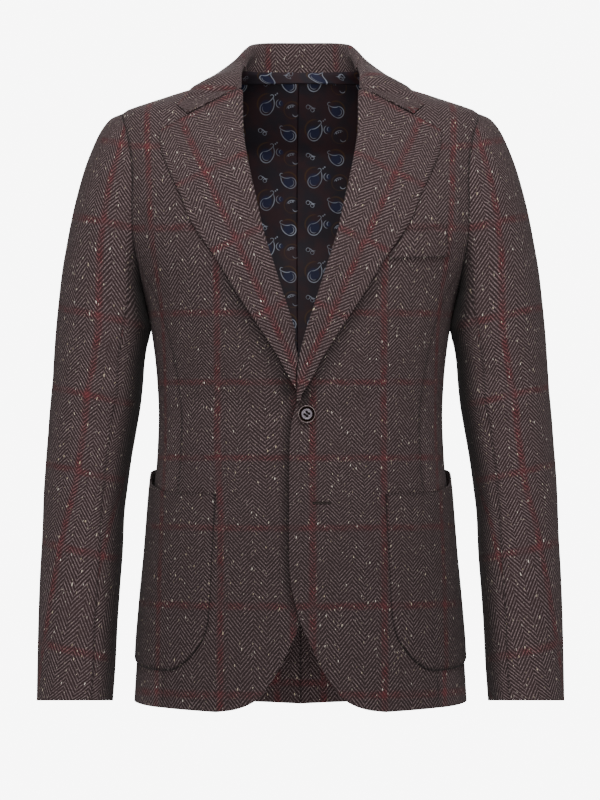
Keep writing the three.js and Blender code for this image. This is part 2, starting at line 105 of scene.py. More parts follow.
# Lapel rows: where the roll starts on the front's edge, and the outer edge opposite.
LAPEL = table("row rollZ edgeX edgeZ", [
    (0, -5.4, 162.5, -53), (1, -31, 161.1, -71.6), (2, -60, 148, -107.5), (3, -88, 137.4, -129.3),
    (4, -112, 129.2, -152.1), (5, -140, 115.3, -175.7), (6, -171, 94.5, -205.7),
    (7, -211, 70.4, -245.9), (8, -255, 44.1, -286), (9, -282, 31.5, -306), (10, -300, 24.6, -316.9),
    (11, -318, 16, -334), (12, -340, 7.5, -349), (13, -356, 1.6, -358.5),
    (14, -368, -3.6, -368.6),
])
LAPEL_LAST = {1: 13.85, -1: 12.6}
ROLL = np.array([(-1.5, -1.6), (-2.0, -0.2), (-1.7, 1.3), (-0.7, 2.5), (0.9, 3.2), (4.0, 3.6)])

FOLD = table("row x y z seatAngle edgeAngle edgeZ edgeOff", [
    (0, 0, 66, 54.5, 180, 180, 8, 3.2), (1, 22, 65, 54.5, 159.5, 160, 7.4, 3.2),
    (2, 41, 57.5, 53.5, 141.5, 142, 6, 3.2), (3, 54, 45, 50.5, 127.5, 128, 4.2, 3.2),
    (4, 60.5, 31, 44, 115.5, 116, 3, 3), (5, 65, 16, 36, 103.5, 103.5, 1.5, 2.8),
    (6, 67.6, 1, 26.5, 92, 91.5, 0.5, 2.6),
])
LEAF_FRONT = np.array([
    (71.4, 14, 128, -5), (71.3, 5, 132, -10), (71.4, -2.6, 135.3, -14.2), (69.6, -4.0, 136, -15),
    (84, -10.4, 138.5, -18), (99, -18.1, 140.8, -20.5), (115, -26.3, 142.2, -22.2),
    (130.6, -34.4, 143.1, -23.4),
])

# Sleeve rings: outer and inner point seen from the front, half depth and forward shift.
SLEEVE = np.array([
    (306.8, -714.4, 217.8, -714.4, 46, -39), (306.3, -668, 214.8, -670, 47, -33),
    (305.5, -620, 212.8, -626, 48.5, -27), (304, -570, 210, -582, 50.5, -20.5),
    (301.5, -520, 207, -540, 52.5, -14.5), (300, -470, 205.5, -500, 54.5, -9),
    (297, -425, 201.5, -465, 56.5, -5), (293.5, -380, 197, -432, 58.5, -2),
    (290, -335, 191.5, -400, 60.5, 0.5), (287, -290, 186.5, -370, 62, 1.5),
    (283, -248, 183.8, -344, 63.5, 2), (279, -214, 182.2, -322, 64.5, 2),
    (273.5, -182, 179.4, -303, 65.5, 2), (267.5, -151, 176.4, -290, 66, 1.5),
    (260.5, -122, 178, -276.5, 66, 1), (252, -93, 180.2, -266, 66, 0.5),
    (243.5, -71, 181.8, -259.5, 65.5, 0), (233, -49.5, 182.6, -254, 65, 0),
    (221, -35.5, 183.2, -250.5, 64.5, 0),
])
CUFF_TILT = 0.06
SLEEVE_FORE, SLEEVE_AFT = -118.0, 100.0

POCKET = table("angle bottom top", [
    (42.6, -592, -473), (43.0, -618, -473), (44.7, -639, -473), (48.7, -657, -473),
    (53, -669, -473), (58, -676.5, -473), (63.5, -677.5, -472.8), (69, -676.5, -471),
    (75, -675, -468), (82, -672, -462.9), (88.5, -668.5, -453), (92, -662, -448.5),
    (94, -651, -447), (95, -636, -446.5),
])
CHEST_TOP = (119.8, -170.4, 167.7, -163.9)
CHEST_BOTTOM = (100.0, -203.3, 169.1, -199.7)
BUTTON_X, BUTTON_Z, BUTTON_RADIUS = 7.2, -381.1, 9.8
LINING_FOOT = -330.0


# ---------------------------------------------------------------- shapes


def through(keys, values, places):
    """Monotone cubic through values at rising keys: no value overshoots its neighbours."""
    values = np.asarray(values, float)
    places = np.clip(np.asarray(places, float), keys[0], keys[-1])
    extra = (1,) * (values.ndim - 1)
    step = np.diff(keys).reshape((-1, *extra))
    slope = np.diff(values, axis=0) / step
    rising = slope[:-1] * slope[1:] > 0
    total = np.where(rising, slope[:-1] + slope[1:], 1)
    inner = np.where(rising, 2 * slope[:-1] * slope[1:] / total, 0)
    tangent = np.concatenate([slope[:1], inner, slope[-1:]])
    i = np.clip(np.searchsorted(keys, places, side="right") - 1, 0, len(keys) - 2)
    t = ((places - keys[i]) / (keys[i + 1] - keys[i])).reshape(places.shape + extra)
    hold = (1 + 2 * t) * (1 - t) ** 2
    bend = t * (1 - t) ** 2 * tangent[i] - t * t * (1 - t) * tangent[i + 1]
    return hold * values[i] + (1 - hold) * values[i + 1] + step[i] * bend


def at(rows, column, place, key="z"):
    """One column of a table at a place in another."""
    return through(rows[key], rows[column], place)


def smooth(t):
    """Rises from 0 to 1 with level ends: t*t*(3 - 2t)."""
    t = np.clip(t, 0, 1)
    return t * t * (3 - 2 * t)


def mix(a, b, t):
    return a + (b - a) * t


def unit(a):
    return a / np.maximum(np.linalg.norm(a, axis=-1, keepdims=True), 1e-12)


def spread(count, length, radius=1.0):
    """Places from 0 to 1, even but for a few close ones at both ends, where the rim turns round."""
    near = np.array([0, 0.13, 0.5, 1.0]) * radius / length
    return np.concatenate([near, np.linspace(near[-1], 1 - near[-1], count)[1:-1], 1 - near[::-1]])


def ring(angle, z):
    """Point of the body's face: (|sin|/half)^r + (|cos|/depth)^r = reach^-r round each ring."""
    angle, z = np.broadcast_arrays(np.asarray(angle, float), np.asarray(z, float))
    turn = np.radians(angle)
    s, c = np.sin(turn), np.cos(turn)
    depth = np.where(c > 0, at(BODY, "front", z), at(BODY, "back", z))
    across = (np.abs(s) / at(BODY, "half", z)) ** ROUNDNESS
    reach = (across + (np.abs(c) / depth) ** ROUNDNESS) ** (-1 / ROUNDNESS)
    return np.stack([reach * s, -reach * c, z], axis=-1)


def body(angle, z, off=0.0):
    """Point of the body's face moved out along its normal."""
    around = ring(angle + 0.05, z) - ring(angle - 0.05, z)
    up = ring(angle, z + 0.2) - ring(angle, z - 0.2)
    return ring(angle, z) + unit(np.cross(around, up)) * np.asarray(off)[..., None]


def angle_at_x(x, z):
    """Direction of a point of the front given by x."""
    part = np.minimum(0.9999, np.abs(x) / at(BODY, "half", z))
    y = at(BODY, "front", z) * (1 - part**ROUNDNESS) ** (1 / ROUNDNESS)
    return np.degrees(np.arctan2(x, y))


def angle_at_y(y, z):
    """Direction of a point beside the armhole given by y."""
    depth = np.where(y < 0, at(BODY, "front", z), at(BODY, "back", z))
    part = np.minimum(0.9999, np.abs(y) / depth)
    x = at(BODY, "half", z) * (1 - part**ROUNDNESS) ** (1 / ROUNDNESS)
    return 90 + np.degrees(np.arctan2(y, x))


def girth(angle, z, steps=40):
    """Length round the ring from straight ahead, as a sum of short chords."""
    part = np.linspace(0, 1, steps + 1).reshape((-1,) + (1,) * np.ndim(angle))
    line = ring(part * angle, z + 0 * part)
    return np.linalg.norm(np.diff(line, axis=0), axis=-1).sum(axis=0)


def climb(angle, z, steps=16, start=-150.0):
    """Height measured up the cloth: z below the chest, above it the length of the line at the same x."""
    x = ring(angle, z)[..., 0]
    part = np.linspace(0, 1, steps + 1).reshape((-1,) + (1,) * np.ndim(angle))
    level = start + np.maximum(0, z - start) * part
    facing = angle_at_x(x, level)
    depth = at(BODY, "back", level) * (1 - np.sin(np.radians(np.minimum(89, facing))) ** 2) ** 0.5
    line = ring(facing, level)
    line[..., 1] = np.where(angle > 90, depth, line[..., 1])
    return np.minimum(z, start) + np.linalg.norm(np.diff(line, axis=0), axis=-1).sum(axis=0)


def armhole_y(z):
    t = (z - ARM_Z) / ARM_HEIGHT
    return ARM_DEPTH * np.sqrt(np.maximum(0, 1 - t * t))


def armhole_z(y):
    return ARM_Z - ARM_HEIGHT * np.sqrt(np.maximum(0, 1 - (y / ARM_DEPTH) ** 2))


def seam_angle(gap, reach):
    return math.degrees(gap / 2 / reach)


SIDE_GAP = seam_angle(SEAM, 165)
ARM_TOP = ARM_Z + ARM_HEIGHT


def fore_limit(z):
    """Where a front ends: side seam, then armhole, then shoulder seam."""
    beside = np.minimum(angle_at_y(-armhole_y(z), z), 90 - SIDE_GAP)
    above = np.where(z < ARM_TOP, beside, 90 - SIDE_GAP)
    return np.where(z < armhole_z(ARM_FORE), at(SIDE_SEAMS, "fore", z) - SIDE_GAP, above)


def aft_limit(z):
    """Where a back ends, the same way."""
    beside = np.maximum(angle_at_y(armhole_y(z), z), 90 + SIDE_GAP)
    above = np.where(z < ARM_TOP, beside, 90 + SIDE_GAP)
    return np.where(z < armhole_z(ARM_AFT), at(SIDE_SEAMS, "aft", z) + SIDE_GAP, above)


def lap(x, side):
    """Lift of a front near its lapped edge; the wearer's left lies outside."""
    near = 1 - smooth((x - LAP_FULL) / (LAP_NONE - LAP_FULL))
    return near * (LAP_OUTER if side > 0 else LAP_INNER)


def normals(grid):
    """Unit normals of a grid from its central differences."""
    return unit(np.cross(np.gradient(grid, axis=1), np.gradient(grid, axis=0)))


def folds(s, z, lines):
    """Sum of soft ridges and troughs: each falls off as exp(-(distance/width)^2) from its line, and
    fades towards both ends of it."""
    lift = np.zeros(np.broadcast(s, z).shape)
    for s0, z0, s1, z1, depth, width in lines:
        run = np.array([s1 - s0, z1 - z0])
        length = np.hypot(*run)
        along = ((s - s0) * run[0] + (z - z0) * run[1]) / length
        away = ((s - s0) * run[1] - (z - z0) * run[0]) / length
        t = along / length
        fade = smooth((t + 0.25) / 0.5) * smooth((1.25 - t) / 0.5)
        lift += depth * fade * np.exp(-((away / width) ** 2))
    return lift


# ---------------------------------------------------------------- meshes


def mesh_object(name, places, faces, uv=None, shade=None):
    """Object from points in millimetres and faces, with the weave's place in metres as its UV map
    and painted shade, how much the cloth darkens in seams, under edges and between parts, as an attribute."""
    mesh = bpy.data.meshes.new(name)
    mesh.from_pydata((places * MM).tolist(), [], faces.tolist())
    if uv is not None:
        corner = np.empty(len(mesh.loops), np.int32)
        mesh.loops.foreach_get("vertex_index", corner)
        layer = mesh.uv_layers.new(name="Weave")
        layer.data.foreach_set("uv", (uv[corner] * MM).astype(np.float32).ravel())
    if shade is not None:
        mesh.attributes.new("Shade", "FLOAT", "POINT").data.foreach_set("value", shade.astype(np.float32))
    mesh.shade_smooth()
    made = bpy.data.objects.new(name, mesh)
    bpy.context.scene.collection.objects.link(made)
    return made


def shell(name, mid, thickness, weave, rims=(1.0, 1.0, 1.0, 1.0), seams=(0, 0, 0, 0), painted_shade=None):
    """Closed cloth round a grid: half the thickness to each side along the normals, drawn in to
    nothing at the rim as sqrt(1 - (1 - distance/radius)^2), so that the edges are rounded. Seams say
    how much painted shade darkens the groove along each edge: first column, last column, first row,
    last row. Painted shade given for the grid's points darkens the cloth there as well."""
    rows, cols = mid.shape[:2]
    across = np.linalg.norm(np.diff(mid, axis=1), axis=-1)
    along = np.linalg.norm(np.diff(mid, axis=0), axis=-1)
    left = np.hstack([np.zeros((rows, 1)), np.cumsum(across, axis=1)])
    low = np.vstack([np.zeros((1, cols)), np.cumsum(along, axis=0)])
    full, shade = 1.0, np.ones((rows, cols)) if painted_shade is None else painted_shade
    # rounded rims, and painted shade in the groove along each sewn edge
    for distance, radius, dark in zip((left, left[:, -1:] - left, low, low[-1:] - low), rims, seams):
        full = full * np.sqrt(1 - (1 - np.clip(distance / radius, 0, 1)) ** 2)
        shade = shade * (1 - dark * (1 - smooth(distance / 2.6)))
    half = normals(mid) * (thickness / 2 * full)[..., None]
    rim = np.ones((rows, cols), bool)
    rim[1:-1, 1:-1] = False
    outer = np.arange(rows * cols).reshape(rows, cols)
    inner = outer.copy()
    inner[~rim] = rows * cols + np.arange((~rim).sum())
    quads = [
        np.stack([k[:-1, :-1], k[:-1, 1:], k[1:, 1:], k[1:, :-1]], axis=-1).reshape(-1, 4)
        for k in (outer, inner)
    ]
    places = np.concatenate([(mid + half).reshape(-1, 3), (mid - half)[~rim]])
    uv = np.concatenate([weave.reshape(-1, 2), weave[~rim]])
    shade = np.concatenate([shade.ravel(), shade[~rim]])
    return mesh_object(name, places, np.concatenate([quads[0], quads[1][:, ::-1]]), uv, shade)


def mirrored(grid, side):
    """The same grid for the wearer's right: x turned round, and the columns too, so it faces out.
    Places in the weave move on by whole checks, so the slubs differ."""
    if side > 0:
        return grid
    turned = grid[:, ::-1].copy()
    if grid.shape[-1] == 3:
        turned[..., 0] *= -1
    if grid.shape[-1] == 2:
        turned += np.array([588.0, 630.0])
    return turned


def paired(seams, side):
    """Painted seam shade in the order of the columns of that side."""
    return seams if side > 0 else (seams[1], seams[0], *seams[2:])


def word(side):
    return "left" if side > 0 else "right"


def finish(piece, node, material):
    """Gives a piece its material and body, and hides the frame's part for its node."""
    piece.data.materials.append(material)
    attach(piece, "root")
    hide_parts(node)
    return piece


# ---------------------------------------------------------------- creases

# Lines in girth from the centre front and height, with lift and half width; negative is a trough.
FRONT_FOLDS = {
    1: [
        (20, -392, 120, -350, -1.6, 11), (30, -405, 140, -425, -1.3, 12), (24, -380, 70, -300, 1.0, 12),
        (60, -520, 75, -700, 1.2, 22), (40, -560, 30, -690, -1.2, 16), (150, -230, 120, -300, -1.2, 13),
    ],
    -1: [
        (18, -388, 130, -362, -1.5, 11), (25, -402, 120, -440, -1.4, 12), (30, -372, 90, -320, 0.9, 12),
        (70, -500, 85, -700, 1.3, 24), (110, -430, 60, -520, -1.1, 14), (150, -225, 130, -310, -1.2, 13),
    ],
}


def body_creases(angle, z, side):
    """Creases of the fronts, sides and back at one point of the body's face."""
    return folds(girth(angle, z), z, FRONT_FOLDS[side])


# Lines on the sleeves seen from the front, in x and height, with lift, half width and whether they
# are on the front or the back of the arm.
SLEEVE_FOLDS = {
    1: [
        (205, -330, 262, -352, -1.8, 10, -1), (203, -362, 268, -374, 1.2, 12, -1),
        (206, -400, 262, -396, -1.6, 10, -1), (212, -440, 285, -470, -1.2, 14, -1),
        (205, -300, 240, -290, 1.4, 11, -1), (222, -250, 205, -340, -1.4, 11, -1),
        (245, -330, 290, -360, -1.5, 11, 1), (225, -380, 290, -390, 1.2, 12, 1),
        (220, -430, 290, -420, -1.5, 12, 1), (240, -600, 290, -640, -0.9, 16, 1),
        (225, -620, 280, -600, -0.8, 15, -1),
    ],
    -1: [
        (204, -318, 258, -344, -1.7, 11, -1), (204, -350, 270, -366, 1.1, 12, -1),
        (207, -388, 266, -392, -1.7, 11, -1), (214, -430, 290, -455, -1.1, 15, -1),
        (206, -292, 244, -296, 1.2, 11, -1), (224, -245, 206, -330, -1.5, 11, -1),
        (240, -320, 292, -345, -1.4, 11, 1), (222, -372, 292, -384, 1.1, 12, 1),
        (222, -425, 288, -410, -1.6, 12, 1), (238, -590, 288, -620, -0.9, 16, 1),
        (228, -640, 282, -615, -0.9, 16, -1),
    ],
}


def sleeve_creases(grid, side):
    """Creases of a sleeve: each shows on one face of the arm and fades round its sides."""
    lift = np.zeros(grid.shape[:2])
    facing = smooth(0.5 + grid[..., 1] / 60)
    for *line, face in SLEEVE_FOLDS[side]:
        lift += folds(grid[..., 0], grid[..., 2], [line]) * (facing if face > 0 else 1 - facing)
    return lift


# ---------------------------------------------------------------- body pieces


# Heights at which the level lines of the check lie, and their places in the cloth.
BODY_LEVELS = table("z v", [
    (-900, -820), (-805, -720), (-703.2, -630), (-601.2, -540), (-511.8, -450), (-431.5, -360), (-344.4, -270),
    (-265.2, -180), (-166.6, -90), (-69, 0), (25, 90), (119, 180),
])
SLEEVE_LEVELS = table("z v", [
    (-800, -635), (-695.3, -540), (-581.1, -450), (-491.3, -360), (-402.2, -270), (-310.1, -180),
    (-202.6, -90), (-109.2, 0), (-16, 90), (78, 180),
])
LAPEL_LEVELS = table("z v", [
    (-490, -450), (-400, -360), (-310.5, -270), (-222.5, -180), (-134.5, -90), (-48.6, 0), (20, 90), (100, 170),
])


def body_weave(angle, z, from_back=False):
    """Place in the weave: length round from the centre front, or to the centre back, and up."""
    up = at(BODY_LEVELS, "v", climb(angle, z))
    if from_back:
        round_it = girth(np.full_like(angle, 180.0), z) - girth(angle, z)
        return np.stack([42.0 - round_it, up], axis=-1)
    return np.stack([np.where(angle < 0, -1, 1) * girth(np.abs(angle), z), up], axis=-1)


def fade(z):
    """Painted shade: a soft fall, darker towards the bottom of the front."""
    return mix(0.73, 1, smooth((z + 570) / 400))


def front_grid(side):
    rows = np.concatenate([
        -723.1 + np.array([0, 0.13, 0.5, 1.0, 1.8, 3.0, 4.5]), np.linspace(-716.5, -690, 12)[:-1],
        np.linspace(-690, -570, 25)[:-1], np.linspace(-570, 15, 130), [15.5, 15.87, 16],
    ])
    part = spread(64, 300)
    z, t = np.meshgrid(rows, part, indexing="ij")
    outer_z = z + 3.1 * smooth((-600 - z) / 123)
    start = angle_at_x(at(FRONT_EDGE, "x", z), z)
    angle = mix(start, fore_limit(outer_z), t)
    height = mix(z, outer_z, t)
    return angle, height


class BLAZER_OT_fronts(bpy.types.Operator):
    """Left and right front, lapped over each other at the waist"""

    bl_idname = "blazer.fronts"
    bl_label = "Fronts"

    def execute(self, context):
        for side in (1, -1):
            angle, z = front_grid(side)
            lift = lap(ring(angle, z)[..., 0], side) + body_creases(angle, z, side)
            mid = body(angle, z, lift - TWEED / 2)
            weave = body_weave(angle, z)
            x = ring(angle, z)[..., 0]
            # painted shade: darker down the front, deep and soft under the lapels' ends and beside their outer edges;
            # on the right, a little over the chest and beside the lapped edge
            at_x, at_z, wide, strong = (6, -362, 9, 0.6) if side > 0 else (14, -352, 12, 0.55)
            painted_shade = fade(z) * (1 - strong * np.exp(-(((x - at_x) / wide) ** 2) - ((z - at_z) / 17) ** 2))
            # painted shade on the front beside each lapel's outer edge
            past = 0.8 * (x - np.interp(z, LAPEL["edgeZ"][::-1], LAPEL["edgeX"][::-1]))
            painted_shade = painted_shade * (1 - 0.48 * smooth((-190 - z) / 60) * smooth((z + 372) / 20) * (1 - smooth(past / 22)))
            if side < 0:
                # painted shade over the right chest, and a painted shadow beside the left front's lapped edge
                painted_shade = painted_shade * (1 - 0.09 * smooth((-80 - z) / 60) * smooth((z + 400) / 80))
                beside = x + at(FRONT_EDGE, "x", z)
                reach = smooth((z + 650) / 60) * smooth((-350 - z) / 30)
                painted_shade = painted_shade * (1 - 0.62 * reach * (1 - smooth(beside / 14)))
                weave[..., 0] += 6 * (1 - smooth((x - 20) / 50)) + 5 * smooth((x - 20) / 50) * smooth((-420 - z) / 90)
            seams = paired((0.0, 0.45, 0.0, 0.0), side)
            made = shell(f"front_cloth_{word(side)}", mirrored(mid, side), TWEED, mirrored(weave, side),
                         seams=seams, painted_shade=mirrored(painted_shade, side))
            finish(made, f"front_{word(side)}", tweed())
        return {"FINISHED"}


class BLAZER_OT_sides(bpy.types.Operator):
    """Side bodies under the armholes"""

    bl_idname = "blazer.sides"
    bl_label = "Side bodies"

    def execute(self, context):
        part, up = spread(30, 160), spread(110, 520)
        up, part = np.meshgrid(up, part, indexing="ij")

        def turn(z):
            fore = at(SIDE_SEAMS, "fore", z) + SIDE_GAP
            return mix(fore, at(SIDE_SEAMS, "aft", z) - SIDE_GAP, part)

        top = np.full_like(part, -230.0)
        for _ in range(40):
            top = mix(top, armhole_z(ring(turn(top), top)[..., 1]), 0.5)
        foot = at(HEM, "z", turn(-720 + 0 * part), "angle")
        z = mix(foot, top, up)
        angle = turn(z)
        for side in (1, -1):
            mid = body(angle, z, body_creases(angle, z, side) - TWEED / 2)
            weave = body_weave(angle, z)
            made = shell(f"side_cloth_{word(side)}", mirrored(mid, side), TWEED, mirrored(weave, side),
                         seams=(0.45, 0.45, 0.0, 0.5))
            finish(made, f"side_{word(side)}", tweed())
        return {"FINISHED"}


BACK_CENTRE = 180 - seam_angle(SEAM, 125)


class BLAZER_OT_backs(bpy.types.Operator):
    """Left and right back, sewn at the centre"""

    bl_idname = "blazer.backs"
    bl_label = "Backs"

    def execute(self, context):
        rows = np.concatenate([
            -728 + np.array([0, 0.13, 0.5, 1.0]), np.linspace(-722, -260, 90)[:-1],
            np.linspace(-260, 17, 80), [17.5, 17.87, 18],
        ])
        z, part = np.meshgrid(rows, spread(60, 200), indexing="ij")
        angle = mix(aft_limit(z), BACK_CENTRE, part)
        z = z + (at(HEM, "z", angle, "angle") + 728) * smooth((-600 - z) / 128)
        for side in (1, -1):
            mid = body(angle, z, body_creases(angle, z, side) - TWEED / 2)
            weave = body_weave(angle, z, from_back=True)
            made = shell(f"back_cloth_{word(side)}", mirrored(mid, side), TWEED, mirrored(weave, side),
                         seams=(0.45, 0.45, 0.0, 0.0))
            finish(made, f"back_{word(side)}", tweed())
        return {"FINISHED"}


# ---------------------------------------------------------------- lapels and collar


def lapel_grid(side):
    """Rows across the lapel from its roll on the front's edge to its outer edge: the roll's section
    first, then straight over the front, a little clear of it."""
    steps, flat = 110, 10
    lie = REST + 0.3 + TURNED / 2
    t = spread(steps, 360)
    row = (1 - t**0.9) * LAPEL_LAST[side]
    roll_z = at(LAPEL, "rollZ", row, "row")
    own = at(FRONT_EDGE, "x", roll_z)
    crossing = smooth((-284 - roll_z) / 18) * (0 if side > 0 else 1)
    start = np.maximum(own, crossing * (5.1 - own))
    run_x = at(LAPEL, "edgeX", row, "row") - start
    run_z = at(LAPEL, "edgeZ", row, "row") - roll_z
    width = np.hypot(run_x, run_z)
    narrow = np.minimum(1, width / 14)
    one = np.arange(len(ROLL))
    even = one / (len(ROLL) - 1) * ROLL[-1, 0]
    reach = mix(ROLL[:, 0], even, crossing[:, None])
    reach = np.where(reach > 0, reach * narrow[:, None], reach)
    rise = mix(ROLL[:, 1], lie, crossing[:, None])
    out = (np.arange(flat) + 1) / flat
    reach = np.hstack([reach, mix(ROLL[-1, 0] * narrow[:, None], width[:, None], out)])
    first = mix(ROLL[-1, 1], lie, crossing)[:, None]
    rise = np.hstack([rise, mix(first, lie, smooth(out * 1.6))])
    fine = np.concatenate([np.linspace(0, len(ROLL) - 1, 16)[:-1], np.linspace(5, 15, 34)[:-1],
                           [15 - 0.06, 15 - 0.01, 15]])
    key = np.arange(reach.shape[1])
    reach = through(key, reach.T, fine).T
    rise = through(key, rise.T, fine).T
    x = start[:, None] + reach * np.where(reach < 0, 1.7, (run_x / width)[:, None])
    z = roll_z[:, None] + np.maximum(0, reach) * (run_z / width)[:, None]
    return x, z, rise


LAPEL_LEAN = math.radians(24.7)


class BLAZER_OT_lapels(bpy.types.Operator):
    """Notch lapels, rolled round the front edges and laid back"""

    bl_idname = "blazer.lapels"
    bl_label = "Lapels"

    def execute(self, context):
        for side in (1, -1):
            x, z, rise = (a[::-1] for a in lapel_grid(side))
            mid = body(angle_at_x(x, z), z, rise + lap(x, side))
            across = x * math.cos(LAPEL_LEAN) - z * math.sin(LAPEL_LEAN) - 142.5 + 14
            up = at(LAPEL_LEVELS, "v", x * math.sin(LAPEL_LEAN) + z * math.cos(LAPEL_LEAN))
            weave = np.stack([across, up], axis=-1)
            # rows run up from the bottom, columns out from the roll
            mid, weave = mid[::-1], weave[::-1]
            made = shell(f"lapel_cloth_{word(side)}", mirrored(mid, side), TURNED, mirrored(weave, side),
                         seams=(0.15, 0.15, 0.0, 0.5))
            finish(made, f"lapel_{word(side)}", tweed())
        return {"FINISHED"}


def around_back(half):
    """Strip from the wearer's right to the left out of the half from the centre back (columns first)."""
    other = half[1:] * np.array([-1.0, 1.0, 1.0])
    return np.concatenate([half[::-1], other]).transpose(1, 0, 2)


def fold_value(name, row):
    return at(FOLD, name, row, "row")


def collar_stand_grid():
    """From the seat on the back's neck edge up inside the leaf to the fold, in rows of one length."""
    row = np.linspace(0, 6, 46)
    seat = body(fold_value("seatAngle", row), 18.0 + 0 * row, np.full(row.shape, -TWEED / 2))
    seat[:, 2] += 1.7
    fold = np.stack([fold_value(n, row) for n in "xyz"], axis=-1)
    out = unit(seat * np.array([1.0, 1.0, 0.0]))
    under = fold - 3.0 * out + np.array([0, 0, -4.0])
    top = fold - 0.6 * out + np.array([0, 0, 2.0])
    middle = mix(seat, under, 0.5) - 0.8 * out
    strip = through(np.array([0, 0.45, 0.86, 1]), np.stack([seat, middle, under, top]), spread(16, 35))
    return around_back(strip.transpose(1, 0, 2))


def collar_leaf_grid():
    """Section from inside the fold over it and down to the edge; behind the neck it hangs from the
    fold, on the chest it lies on the front as far as the gorge."""
    flat = 6
    lie = REST + TURNED / 2
    row = np.linspace(0, 6, 9)
    fold = np.stack([fold_value(n, row) for n in "xyz"], axis=-1)
    edge = body(fold_value("edgeAngle", row), fold_value("edgeZ", row), fold_value("edgeOff", row))
    out = unit((edge - fold) * np.array([1.0, 1.0, 0.0]))
    root = fold + 1.2 * out + np.array([0, 0, -1.2])
    drop = ROLL[:, 1] - np.array([1.0, 0, 0, 0, 0, 0])
    turned = root[:, None] + ROLL[:, 0][None, :, None] * out[:, None]
    turned[..., 2] += drop
    start = turned[:, -1]
    up = unit(np.cross(np.cross(out, [0, 0, 1]), edge - start))
    t = ((np.arange(flat) + 1) / flat)[None, :, None]
    laid = mix(start[:, None], edge[:, None], t) + 0.5 * np.sin(math.pi * t) * up[:, None]
    behind = np.concatenate([turned, laid], axis=1)

    x0, z0, x1, z1 = (c[:, None] for c in LEAF_FRONT.T)
    k = np.arange(len(LEAF_FRONT))[:, None]
    width = np.hypot(x1 - x0, z1 - z0)
    sewn = smooth(k - 2)
    one = np.arange(len(ROLL))[None] / (len(ROLL) - 1)
    reach = mix(ROLL[:, 0][None], one * ROLL[-1, 0], sewn)
    rise = mix(ROLL[:, 1][None], lie, sewn)
    t = ((np.arange(flat) + 1) / flat)[None]
    reach = np.hstack([reach, mix(ROLL[-1, 0], width, t)])
    first = mix(ROLL[-1, 1], lie, sewn)
    bulge = 4.6 * (1 - smooth(k / 3)) * np.sin(math.pi * t)
    rise = np.hstack([rise, mix(first, lie, smooth(t * 1.4)) + bulge])
    x, z = x0 + reach * (x1 - x0) / width, z0 + reach * (z1 - z0) / width
    before = body(angle_at_x(x, z), z, rise)

    half = np.concatenate([behind, before])
    rows = np.concatenate([np.linspace(0, 8, 44)[:-1], np.linspace(8, 16, 60)[:-3], [15.93, 15.985, 16]])
    half = through(np.arange(17), half, rows)
    cols = np.concatenate([np.linspace(0, 5, 16)[:-1], np.linspace(5, 11, 30)[:-3], [10.93, 10.99, 11]])
    return through(np.arange(12), half.transpose(1, 0, 2), cols).transpose(1, 0, 2)


class BLAZER_OT_collar(bpy.types.Operator):
    """Collar stand round the neck and collar leaf turned over it"""

    bl_idname = "blazer.collar"
    bl_label = "Collar"

    def execute(self, context):
        stand = collar_stand_grid()
        length = np.cumsum(np.linalg.norm(np.diff(stand, axis=1, prepend=stand[:, :1]), axis=-1), axis=1)
        height = np.cumsum(np.linalg.norm(np.diff(stand, axis=0, prepend=stand[:1]), axis=-1), axis=0)
        weave = np.stack([length - length[:, -1:] / 2 + 58.4, height + 25], axis=-1)
        made = shell("collar_stand_cloth", stand, STAND, weave)
        finish(made, "collar_stand", tweed())
        half = collar_leaf_grid()
        leaf = around_back(half)[::-1]
        length = np.cumsum(np.linalg.norm(np.diff(leaf, axis=1, prepend=leaf[:, :1]), axis=-1), axis=1)
        height = np.cumsum(np.linalg.norm(np.diff(leaf, axis=0, prepend=leaf[:1]), axis=-1), axis=0)
        weave = np.stack([length - length[:, -1:] / 2, height], axis=-1)
        made = shell("collar_leaf_cloth", leaf, TURNED, weave)
        finish(made, "collar_leaf", tweed())
        return {"FINISHED"}


# ---------------------------------------------------------------- sleeves


def sleeve_rings(degrees):
    """All rings of the left sleeve at these directions, the last one sewn to the armhole."""
    turn = np.radians(degrees)[None]
    c, s = np.cos(turn), np.sin(turn)
    ox, oz, ix, iz, depth, y0 = (column[:, None] for column in SLEEVE.T)
    tilt = CUFF_TILT * smooth((-560 - oz) / 150)
    y = y0 + depth * s
    x = (ox + ix) / 2 + (ox - ix) / 2 * c
    z = (oz + iz) / 2 + (oz - iz) / 2 * c - tilt * (y - y0)
    rings = np.stack([x, y, z], axis=-1)
    hole_y, hole_z = ARM_DEPTH * s, ARM_Z + ARM_HEIGHT * c
    hole = ring(angle_at_y(hole_y, hole_z), hole_z)
    hole = hole - 1.2 * unit(rings[-1:] - hole)
    return np.concatenate([rings, hole])


def sleeve_grid(start, end, cols):
    """Rings at fine steps along the sleeve, with their normals."""
    gap = seam_angle(SEAM, 46)
    degrees = mix(start + gap, end - gap, spread(cols, 150))
    wide = np.concatenate([[degrees[0] - 2], degrees, [degrees[-1] + 2]])
    steps = np.concatenate([
        [0, 0.003, 0.011, 0.022], np.linspace(0.022, 12, 130)[1:], np.linspace(12, 19, 80)[1:-1],
        [18.9, 18.96, 19],
    ])
    grid = through(np.arange(len(SLEEVE) + 1), sleeve_rings(wide), steps)
    lie = normals(grid)[:, 1:-1]
    return grid[:, 1:-1], lie


# The line of the weave down the front of the left sleeve, seen from the front.
SLEEVE_LINE = table("z x", [
    (-740, 308.5), (-713, 305.7), (-668.7, 300.8), (-621.4, 293.7), (-574, 285.4), (-535, 278.3), (-506.5, 272.4),
    (-471, 262.9), (-429.6, 255.8), (-394, 251.1), (-358.6, 247.2), (-338.3, 243), (-308.9, 238.3),
    (-285, 234.1), (-249, 233.2), (-200, 232.9), (-158.5, 228.8), (-115.9, 221.7), (-67.5, 207.5), (-30, 197),
])
SLEEVE_LEAN = math.radians(12)


